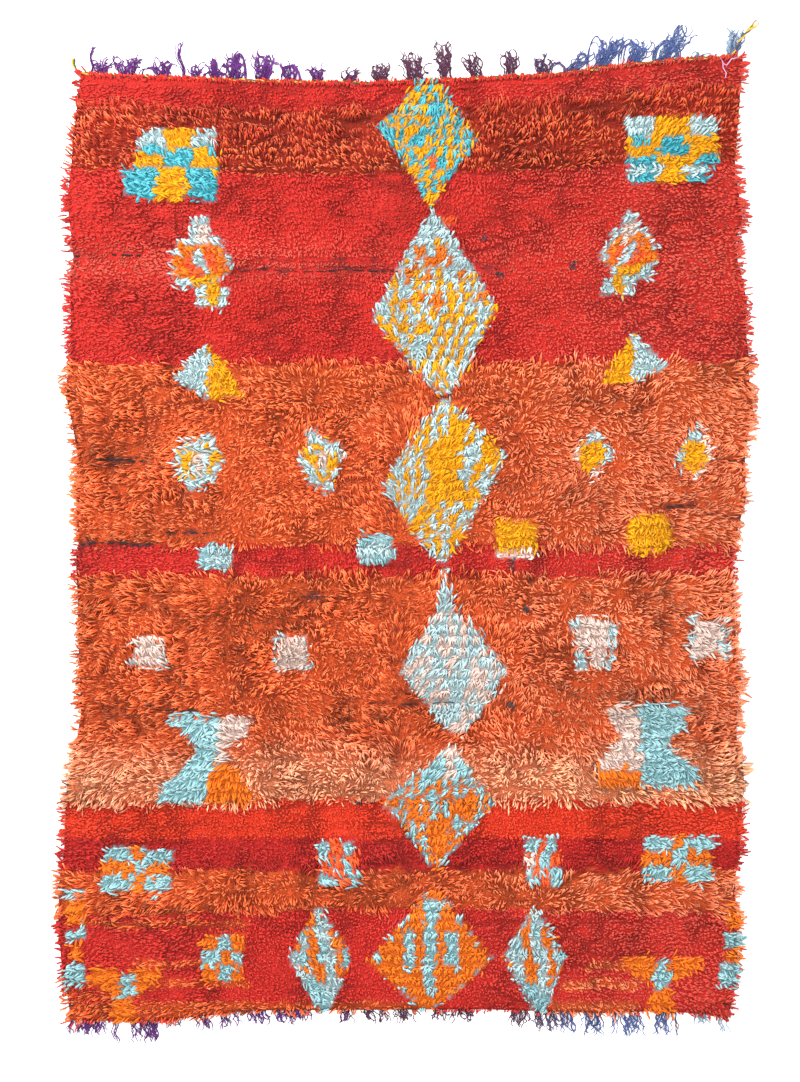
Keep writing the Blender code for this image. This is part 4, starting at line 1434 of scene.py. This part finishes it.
class RUG_OT_pile(bpy.types.Operator):
    """Knots the pile, one piece for each band of it"""

    bl_idname = "rug.pile"
    bl_label = "Pile"

    def execute(self, context):
        sizes, dyes = context.scene.rug_pile, context.scene.rug_dyes
        rng = np.random.default_rng(7)
        across, level = knots(sizes.pitch, sizes.pair_gap, rng)
        x, y = place(across, level)
        keep = parted(x, y) < 0.5
        across, level, x, y = across[keep], level[keep], x[keep], y[keep]

        right, up = lie(x, y, level)
        number = band_number(level)
        long_band = is_long(number)
        guess = np.where(long_band, sizes.long_reach, sizes.short_reach) * 0.6
        miss = rng.normal(0, 0.0028, (2, len(x)))
        dye_number, knotted = dye_at(x + right * guess + miss[0], y + up * guess + miss[1], level)
        edge = np.minimum(x - side_x(y, "left"), side_x(y, "right") - x)
        at_side = edge < SIDE_STRIP
        streaked = (dye_number == DYE["rust"]) & ~long_band
        long_cut = long_band | knotted | at_side | streaked
        reach = np.where(long_band, sizes.long_reach, np.where(knotted, sizes.motif_reach, sizes.short_reach))
        reach = np.where(streaked, sizes.motif_reach, reach)
        reach = np.where(at_side, sizes.side_reach, reach)
        reach = reach * np.where(at_side, rng.uniform(0.80, 1.08, len(x)), rng.uniform(0.72, 1.15, len(x)))
        turn = rng.normal(0, sizes.fray, len(x)) * np.where(long_cut, 1, 0.75)
        right, up = right * np.cos(turn) - up * np.sin(turn), right * np.sin(turn) + up * np.cos(turn)
        tip_x, tip_y = x + right * reach, y + up * reach
        lock_size = np.select([at_side, long_cut], [SIDE_LOCK, sizes.lock_size], sizes.tuft_size)
        lock = clods(tip_x, tip_y, lock_size, lock_size, LOCK_SEED)
        lock = Clod(*(np.where(knotted, new, old) for new, old in zip(tufts(tip_x, tip_y), lock)))
        lock_x, lock_y, mark = lock.x, lock.y, lattice(lock.i, lock.j, 92)
        gather = np.select([at_side, knotted, long_cut], [0.30, 0.72, sizes.gather + 0.13], sizes.gather)
        tip_x += (lock_x - tip_x) * gather
        tip_y += (lock_y - tip_y) * gather
        top = pile_height(x, y, level, across)
        crease = np.zeros_like(x)
        for wide, high, margin, seed in CRACKS:
            clod_high = np.where(long_band, 1.3 * high, high)
            back_x, back_y, near = cracks(x, y, tip_x, tip_y, wide, clod_high, margin, seed)
            amount = np.where(knotted, 0.2, 1.0)
            tip_x, tip_y = tip_x + back_x * amount, tip_y + back_y * amount
            crease = np.maximum(crease, near * amount * margin / CRACKS[0].margin)
        top = top * (1 - 0.28 * crease)
        tip_y = clear_of_partings(tip_x, y, tip_y)
        edge_y = end_y(tip_x, UPPER_END)
        over_cord = (UPPER_LEVEL - level < 0.018) & (noise(x, x * 0, 0.030, 19) > -0.40)
        tip_y = np.where(over_cord, edge_y + rng.uniform(0.006, 0.013, len(x)), tip_y)
        lock_dye, lock_knotted = dye_at(lock_x, lock_y, level)
        dye_number = np.where(knotted & lock_knotted, lock_dye, dye_number)
        crest = 1.10 - 0.5 * np.hypot(lock_x - tip_x, lock_y - tip_y) / sizes.lock_size
        top = np.maximum(top * crest * rng.uniform(0.88, 1.08, len(x)), sizes.root + 0.004)
        top = np.where(knotted & ~long_band, top + 0.002, top)
        colour = yarn_colours(dyes, dye_number, x, y, mark, crease, rng)
        right, up = tip_x - x, tip_y - y
        fuller = np.where(knotted | ~long_cut | at_side, 1.2, 1.0)
        thick = sizes.thick * rng.uniform(0.82, 1.15, len(x)) * fuller

        material = wool("pile wool", 0.35, 5.0, 3.0)
        height = np.stack([np.full(len(x), sizes.root), top])
        for index, band in enumerate(BANDS):
            for half in range(band.halves):
                mine = number == index
                if band.halves == 2:
                    mine &= (across < 0.5) if half == 0 else (across >= 0.5)
                batches = []
                kind = np.select([at_side, knotted, long_cut], [3, 1, 0], 2)
                for cut, profile in enumerate((LONG_END, MOTIF_END, SHORT_END, SIDE_END)):
                    chosen = mine & (kind == cut)
                    if not chosen.any():
                        continue
                    points, along = grow_yarns(
                        x[chosen],
                        y[chosen],
                        height[:, chosen],
                        right[chosen],
                        up[chosen],
                        np.hypot(right, up)[chosen],
                        thick[chosen],
                        profile,
                        rng,
                    )
                    batches.append(Yarns(points, 3, along, colour[chosen], True))
                suffix = "" if band.halves == 1 else ("_left", "_right")[half]
                piece = write_yarns(f"pile_{band.name}{suffix}", batches, material)
                dress(piece, "pile_rug")
        return {"FINISHED"}


class RUG_OT_ground_weave(bpy.types.Operator):
    """Weaves the thin ground that carries the knots, with their backs in its underside"""

    bl_idname = "rug.ground_weave"
    bl_label = "Ground weave"

    def execute(self, context):
        dyes = context.scene.rug_dyes
        level, _, x, y, upper, rim = cloth_grid(GROUND_CELL)
        sheets = [np.stack([x, y, np.full_like(x, height)], -1).reshape(-1, 3) for height in GROUND_HEIGHTS]
        points = np.concatenate(sheets)
        following = np.roll(rim, -1)
        wall = np.stack([rim + x.size, following + x.size, following, rim], -1)
        faces = np.concatenate([upper, upper[:, ::-1] + x.size, wall])
        piece = write_mesh("ground_weave", points, faces.ravel(), np.full(len(faces), 4))

        middle = points[faces].mean(axis=1)
        cell_level = (level[:-1, :-1] + level[1:, 1:]).ravel() / 2
        middle_level = np.concatenate([cell_level, cell_level, np.zeros(len(wall))])
        found, _ = dye_at(middle[:, 0], middle[:, 1], middle_level)
        colour = colours_of(dyes, DYES)[found] * 0.55
        seen = np.arange(len(faces)) < len(upper)
        open_ground = np.zeros(len(faces), bool)
        for parting in PARTINGS:
            along = (middle[:, 0] > parting.left - 0.02) & (middle[:, 0] < parting.right + 0.02)
            open_ground |= along & (np.abs(middle[:, 1] - parting.y) < 0.02)
        dark = np.array(list(dyes.charcoal))
        # Painted shade: the top, seen only between the tufts, darkened to a deep shade of the pile's colours.
        colour[seen] *= 0.30
        colour[seen & open_ground] = dark * 0.8
        colour[len(upper) * 2 :] = dark
        paint(piece, colour, "CORNER", 4)
        piece.data.materials.append(weave("ground weave", 0.0055, 0.0110))
        dress(piece, "pile_rug")
        return {"FINISHED"}


class RUG_OT_pile_bed(bpy.types.Operator):
    """Fills the foot of the pile, where the ends stand too close to tell apart"""

    bl_idname = "rug.pile_bed"
    bl_label = "Foot of the pile"

    def execute(self, context):
        dyes, sizes = context.scene.rug_dyes, context.scene.rug_pile
        level, across, x, y, upper, rim = cloth_grid(BED_CELL)
        lumps = 0.10 * noise(x, y, 0.02, 61) + 0.06 * noise(x, y, 0.011, 62)
        deep = CRACKS[0]
        *_, cracked = cracks(x, y, x, y, deep.wide, deep.high, 0.0060, deep.seed)
        found, knotted = dye_at(x, y, level)
        full_share = sizes.bed + np.where(knotted, sizes.motif_bed - sizes.bed, lumps - 0.2 * cracked)
        gap = 0.6 * parted(x, y, BED_CELL / 3)
        height = pile_height(x, y, level, across) * full_share
        height = sizes.root + 0.0006 + (height - sizes.root) * (1 - gap)
        edge = np.zeros(x.shape, bool)
        edge[0], edge[-1], edge[:, 0], edge[:, -1] = True, True, True, True
        height = np.where(edge, sizes.root + 0.001, height)
        top = np.stack([x, y, height], -1).reshape(-1, 3)
        under = top[rim] * (1, 1, 0) + (0, 0, sizes.root + 0.0004)
        low = np.arange(len(rim)) + x.size
        wall = np.stack([low, np.roll(low, -1), np.roll(rim, -1), rim], -1)
        corners = np.concatenate([upper.ravel(), wall.ravel(), low[::-1]])
        counts = np.append(np.full(len(upper) + len(wall), 4), len(low))
        piece = write_mesh("pile_bed", np.concatenate([top, under]), corners, counts)

        found, knotted = found.ravel(), knotted.ravel()
        short = np.isin(found, [DYE["red"], DYE["scarlet"], DYE["crimson"]])
        # Painted shade on the bed: less under the short red bands and the motifs, more under the long pile,
        # and most under cracks.
        light = np.select([knotted, short], [1.2, 1.45], 0.9) * (1 - 0.5 * cracked.ravel() * ~knotted)
        colour = colours_of(dyes, DYES)[found] * light[:, None]
        foot = (0.30 * faded_foot(x.ravel(), y.ravel()) * (found == DYE["rust"]))[:, None]
        colour = colour * (1 - foot) + np.array(list(dyes.peach)) * foot
        dark = np.array(list(dyes.charcoal))
        open_part = smooth(gap.ravel() * 1.6)[:, None]
        colour = colour * (1 - open_part) + dark * open_part
        paint(piece, np.concatenate([colour, colour[rim]]), "POINT")
        piece.data.materials.append(matted_wool("matted wool"))
        dress(piece, "pile_rug")
        return {"FINISHED"}


class RUG_OT_bared_wefts(bpy.types.Operator):
    """Lays the dark wefts that show in broken lines where the pile parts"""

    bl_idname = "rug.bared_wefts"
    bl_label = "Bared wefts"

    def execute(self, context):
        rng = np.random.default_rng(8)
        steps = np.linspace(0, 1, 7)
        paths, radius = [], []
        for parting in PARTINGS:
            start = max(parting.left, side_x(parting.y, "left") + 0.004)
            last = min(parting.right, side_x(parting.y, "right") - 0.004)
            while start < last:
                stop = min(start + rng.uniform(0.006, 0.032), last)
                x = start + (stop - start) * steps
                y = waver(parting, x) + rng.normal(0, 0.0006, 7)
                left, right = side_x(y, "left"), side_x(y, "right")
                height = 0.78 * pile_height(x, y, y, (x - left) / (right - left))
                paths.append(np.stack([x, y, height], -1))
                radius.append(np.full(7, parting.gap * rng.uniform(0.25, 0.65)) * (0.5, 1, 1, 1, 1, 1, 0.5))
                start = stop + rng.uniform(0.002, 0.016)
        points = tube_points(np.array(paths), np.array(radius), UP, 3, np.zeros((len(paths), 7)), False)
        # The wefts' charcoal at half strength: partly their own dark colour, partly painted shade deep in the
        # parting.
        colour = np.tile([*context.scene.rug_dyes.charcoal, 0.0], (len(paths), 1)) * (0.5, 0.5, 0.5, 1)
        batch = Yarns(points, 3, steps, colour, False)
        piece = write_yarns("ground_wefts", [batch], wool("weft wool", 0.9, 20.0, 2.0))
        dress(piece, "pile_rug")
        return {"FINISHED"}


class RUG_OT_heading_cord(bpy.types.Operator):
    """Twines the cord of a mustard and an olive ply along the upper edge"""

    bl_idname = "rug.heading_cord"
    bl_label = "Heading cord"

    def execute(self, context):
        dyes = context.scene.rug_dyes
        across = np.linspace(0, 1, 60)
        edge_x, edge_y = place(across, np.full(60, UPPER_LEVEL))
        edge = np.stack([edge_x, edge_y + 0.0041], -1)
        left = edge[0] + np.array(CORD_LEFT_TAIL[::-1])
        right = edge[-1] + np.array(CORD_RIGHT_TAIL)
        route = np.concatenate([left, edge[:-1], right])
        walked = np.append(0, np.cumsum(np.linalg.norm(np.diff(route, axis=0), axis=1)))
        steps = np.arange(0, walked[-1], 0.0045)
        plan = np.stack([np.interp(steps, walked, route[:, 0]), np.interp(steps, walked, route[:, 1])], -1)
        ahead = np.gradient(plan, axis=0)
        ahead /= np.linalg.norm(ahead, axis=1, keepdims=True)
        beside = np.stack([-ahead[:, 1], ahead[:, 0]], -1)
        paths, colours = [], []
        loose = smooth((steps - steps[-1] + 0.035) / 0.035) + smooth((0.02 - steps) / 0.02)
        for ply, name in enumerate(("mustard", "olive")):
            turn = math.pi * steps / 0.0200 + ply * math.pi
            sway = 0.0017 * np.cos(turn)
            flat_part = plan + beside * (sway + (ply - 0.5) * 0.009 * loose)[:, None]
            high = 0.0042 + 0.0017 * np.sin(turn) - 0.0012 * loose
            paths.append(np.concatenate([flat_part, high[:, None]], axis=1))
            colours.append([*getattr(dyes, name), 0.2])
        paths = np.array(paths)
        radius = 0.0020 * (1 + 0.35 * np.tile(smooth(loose * 2), (2, 1)))
        radius[:, -3:] *= 0.6
        twist = np.tile(np.linspace(0, 60, paths.shape[1]), (2, 1))
        points = tube_points(paths, radius, UP, 6, twist, False)
        along = np.linspace(0.5, 1, paths.shape[1])
        batches = [Yarns(points, 6, along, np.array(colours), False)]

        frayed = np.array([[(*(edge[-1] + step), 0.004) for step in CORD_FRAYED_END]])
        radius = np.array([[0.0016, 0.0016, 0.0014, 0.0008]])
        points = tube_points(frayed, radius, UP, 6, np.zeros((1, 4)), False)
        batches.append(Yarns(points, 6, np.linspace(0.5, 1, 4), np.array(colours[:1]), False))
        piece = write_yarns("heading_cord_yarn", batches, wool("cord wool", 0.9, 260.0, 2.0))
        dress(piece, "heading_cord")
        return {"FINISHED"}


def warp_colours(dyes, x, rng):
    """Colour of each warp end by its place across the rug, with a little chance in it."""
    stops = np.array([-0.85, -0.24, -0.12, 0.30, 0.42, 0.66, 0.70, 0.790, 0.796])
    names = ["purple", "purple", "plum", "plum", "blue", "blue", "pale", "pale", "blue"]
    palette = colours_of(dyes, [name + "_warp" for name in names])
    at = x + np.where(x < 0.7, rng.normal(0, 0.035, len(x)), 0)
    colour = np.stack([np.interp(at, stops, palette[:, part]) for part in range(3)], -1)
    colour *= rng.uniform(0.75, 1.25, (len(x), 1))
    return np.concatenate([np.clip(colour, 0, 1), rng.uniform(0.0, 0.3, (len(x), 1))], axis=1)


def warp_ends(clumps, edge, outward, per_strand, rings, curl, seed, past):
    """Paths of warp ends: each clump's yarns leave the edge close together, spread as they go, and curl
    in small circles on the way, lying over each other in thin layers."""
    rng = np.random.default_rng(seed)
    counts = column(clumps, "strands").astype(int) * per_strand
    counts = np.where(column(clumps, "spread") < LONE_SPREAD, LONE_YARNS, counts)
    of = np.repeat(np.arange(len(clumps)), counts)
    total = len(of)
    spread = column(clumps, "spread")[of]
    lone = spread < LONE_SPREAD
    root_wide = np.where(lone, 0.004, 0.010) + (0.45 if outward > 0 else 1.0) * spread
    root_x = column(clumps, "x")[of] + rng.uniform(-0.5, 0.5, total) * root_wide
    aim = column(clumps, "lean")[of] + rng.uniform(-0.5, 0.5, total) * spread * 0.9
    cut = np.where(lone, rng.uniform(0.9, 1.0, total), rng.uniform(0.55, 1.0, total))
    long = column(clumps, "length")[of] * (1.0 if outward > 0 else 1.3) * cut
    t = np.linspace(0, 1, rings)[None]
    straight, curly = 0.08 + 0.9 * smooth((t - 0.72) / 0.28), smooth(t * 1.6) * (0.7 + 0.5 * t)
    grown = np.where(lone[:, None], straight, curly)
    size = curl * rng.uniform(0.3, 1.1, (total, 1)) * grown
    phase = rng.uniform(0, math.tau, (total, 1))
    turns = (long / 0.030)[:, None] * rng.uniform(0.7, 1.5, (total, 1))
    turns = turns * np.sign(rng.uniform(-1, 1, (total, 1)))
    turn = phase + math.tau * turns * t
    sway = np.where(lone[:, None], 0.0035 * np.sin(9 * t + root_x[:, None]), 0)
    sway = sway + rng.normal(0, 0.0007, turn.shape)
    x = root_x[:, None] + aim[:, None] * t**0.8 + size * np.sin(turn) + sway
    run = past + (long[:, None] - curl) * t + size * np.cos(turn) * 0.9
    y = end_y(root_x, edge)[:, None] + outward * run
    layer = rng.uniform(0.0, 1.0, (total, 1))
    z = 0.0018 + (0.0008 + 0.0040 * layer) * smooth(t * 5) * (1 - 0.5 * t) + 0.0010 * np.sin(turn * 1.3)
    path = np.stack([x, y, np.maximum(z, 0.0018)], -1)
    return path, root_x, rng


def arch_ends(arches, edge, outward, rings, past, rng):
    """Paths of arching warp ends: half an oval from one root to the other, each a little off the last."""
    counts = column(arches, "yarns").astype(int)
    of = np.repeat(np.arange(len(arches)), counts)
    t = np.linspace(0, 1, rings)[None]
    start = column(arches, "start")[of] + rng.normal(0, 0.003, len(of))
    stop = column(arches, "stop")[of] + rng.normal(0, 0.003, len(of))
    rise = column(arches, "rise")[of] * rng.uniform(0.80, 1.04, len(of))
    x = start[:, None] + (stop - start)[:, None] * (0.5 - 0.5 * np.cos(np.pi * t))
    kink = rng.normal(0, 0.0012, (len(of), rings))
    y = end_y(x, edge) + outward * (past + rise[:, None] * np.sin(np.pi * t) ** 0.8) + kink
    z = np.full_like(x, 0.0022) + rng.uniform(0, 0.0030, (len(of), 1)) * np.sin(np.pi * t)
    return np.stack([x, y, z], -1), start


class RUG_OT_fringes(bpy.types.Operator):
    """Lays out the warp ends past the upper and the lower edge"""

    bl_idname = "rug.fringes"
    bl_label = "Fringes"

    def execute(self, context):
        dyes = context.scene.rug_dyes
        material = wool("warp wool", 0.75, 40.0, 2.0)
        for node, clumps, edge, outward, per_strand, rings, curl, thick, seed, past, slot in (
            ("fringe_top", UPPER_FRINGE, UPPER_END, 1, 4, 20, 0.0070, 0.0037, 5, 0.004, "warp_upper"),
            ("fringe_bottom", LOWER_FRINGE, LOWER_END, -1, 6, 12, 0.0050, 0.0030, 6, -0.004, "warp_lower"),
        ):
            path, root_x, rng = warp_ends(clumps, edge, outward, per_strand, rings, curl, seed, past)
            if node == "fringe_top":
                arched, arch_x = arch_ends(ARCHES, edge, outward, rings, past, rng)
                path, root_x = np.concatenate([path, arched]), np.append(root_x, arch_x)
            total = len(path)
            radius = np.full(path.shape[:2], thick / 2) * rng.uniform(0.75, 1.15, (total, 1))
            radius[:, -1] *= 0.6
            twist = np.zeros(path.shape[:2]) + rng.uniform(0, math.tau, (total, 1))
            points = tube_points(path, radius, UP, 3, twist, False)
            along = np.linspace(0, 1, path.shape[1])
            colour = warp_colours(dyes, root_x, rng)
            if node == "fringe_bottom":
                colour[np.argmin(np.abs(root_x - 0.638)), :3] = dyes.orange
            piece = write_yarns(f"{node}_yarns", [Yarns(points, 3, along, colour, False)], material)
            dress(piece, node)

        loose = np.array([LOOSE_END, LOOSE_BRANCH])
        loose = np.concatenate([loose, np.full((2, loose.shape[1], 1), LOOSE_HEIGHT)], axis=2)
        radius = np.full(loose.shape[:2], 0.0012)
        points = tube_points(loose, radius, UP, 6, np.zeros(loose.shape[:2]), False)
        colour = np.array([[*dyes.lilac, 0.2]] * 2)
        batch = Yarns(points, 6, np.linspace(0.3, 1, loose.shape[1]), colour, False)
        piece = write_yarns("fringe_loose_end", [batch], material)
        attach(piece, "root")
        return {"FINISHED"}


class RUG_OT_studio(bpy.types.Operator):
    """Sets the plain pale floor, soft light and the camera above the rug"""

    bl_idname = "rug.studio"
    bl_label = "Studio"

    def execute(self, context):
        studio = context.scene.rug_studio
        scene = context.scene
        square = np.array([(-1, -1), (1, -1), (1, 1), (-1, 1)]) * FLOOR_HALF
        corners = np.concatenate([square, np.full((4, 1), FLOOR_LEVEL)], axis=1)
        floor = write_mesh("floor", corners, np.arange(4), np.array([4]))
        nodes = Nodes("floor")
        nodes.put(nodes.surface.inputs["Base Color"], (*studio.floor, 1.0))
        nodes.put(nodes.surface.inputs["Roughness"], 0.9)
        floor.data.materials.append(nodes.material)

        for name, place_at, size, power in (
            ("soft overhead", (0.0, 0.0, 4.2), 5.0, 345.0),
            ("key", (-2.6, 2.4, 2.6), 1.6, 215.0),
        ):
            light = bpy.data.lights.new(name, "AREA")
            light.shape = "SQUARE"
            light.size = size
            light.energy = power
            lamp = bpy.data.objects.new(name, light)
            lamp.location = place_at
            aim = -np.array(place_at)
            flat_aim = math.hypot(aim[0], aim[1])
            lamp.rotation_euler = (
                math.atan2(flat_aim, -aim[2]),
                0.0,
                math.atan2(aim[1], aim[0]) - math.pi / 2 if flat_aim > 0 else 0.0,
            )
            scene.collection.objects.link(lamp)
        world = bpy.data.worlds.new("soft room")
        world.use_nodes = True
        world.node_tree.nodes["Background"].inputs["Color"].default_value = (1.0, 1.0, 1.0, 1.0)
        world.node_tree.nodes["Background"].inputs["Strength"].default_value = 0.92
        scene.world = world

        view = bpy.data.cameras.new("camera")
        view.sensor_width = 36.0
        view.lens = view.sensor_width * studio.camera_height / studio.view_height
        view.clip_end = 100.0
        camera = bpy.data.objects.new("camera", view)
        camera.location = (studio.centre_x, studio.centre_y, studio.camera_height)
        scene.collection.objects.link(camera)
        scene.camera = camera
        scene.view_settings.view_transform = "Standard"
        return {"FINISHED"}


class RUG_PT_panel(bpy.types.Panel):
    """Lists the rug's sizes, colours and pieces in the sidebar"""

    bl_idname = "RUG_PT_panel"
    bl_label = "Knotted wool rug"
    bl_space_type = "VIEW_3D"
    bl_region_type = "UI"
    bl_category = "Rug"

    def draw(self, context):
        for group in (context.scene.rug_pile, context.scene.rug_dyes, context.scene.rug_studio):
            box = self.layout.box()
            for name in group.__annotations__:
                box.prop(group, name)
        for operator in OPERATORS:
            self.layout.operator(operator.bl_idname)


OPERATORS = (
    RUG_OT_ground_weave,
    RUG_OT_pile_bed,
    RUG_OT_pile,
    RUG_OT_bared_wefts,
    RUG_OT_heading_cord,
    RUG_OT_fringes,
    RUG_OT_studio,
)
GROUPS = {"rug_dyes": RugDyes, "rug_pile": RugPile, "rug_studio": RugStudio}
CLASSES = (*GROUPS.values(), *OPERATORS, RUG_PT_panel)


def register():
    """Registers the classes and hangs the property groups on the scene."""
    for each in CLASSES:
        bpy.utils.register_class(each)
    for name, group in GROUPS.items():
        setattr(bpy.types.Scene, name, PointerProperty(type=group))


def unregister():
    """Takes back what register did."""
    for name in GROUPS:
        delattr(bpy.types.Scene, name)
    for each in reversed(CLASSES):
        bpy.utils.unregister_class(each)


def main():
    register()
    bpy.ops.rug.ground_weave()
    bpy.ops.rug.pile_bed()
    bpy.ops.rug.pile()
    bpy.ops.rug.bared_wefts()
    bpy.ops.rug.heading_cord()
    bpy.ops.rug.fringes()
    bpy.ops.rug.studio()


if __name__ == "__main__":
    main()
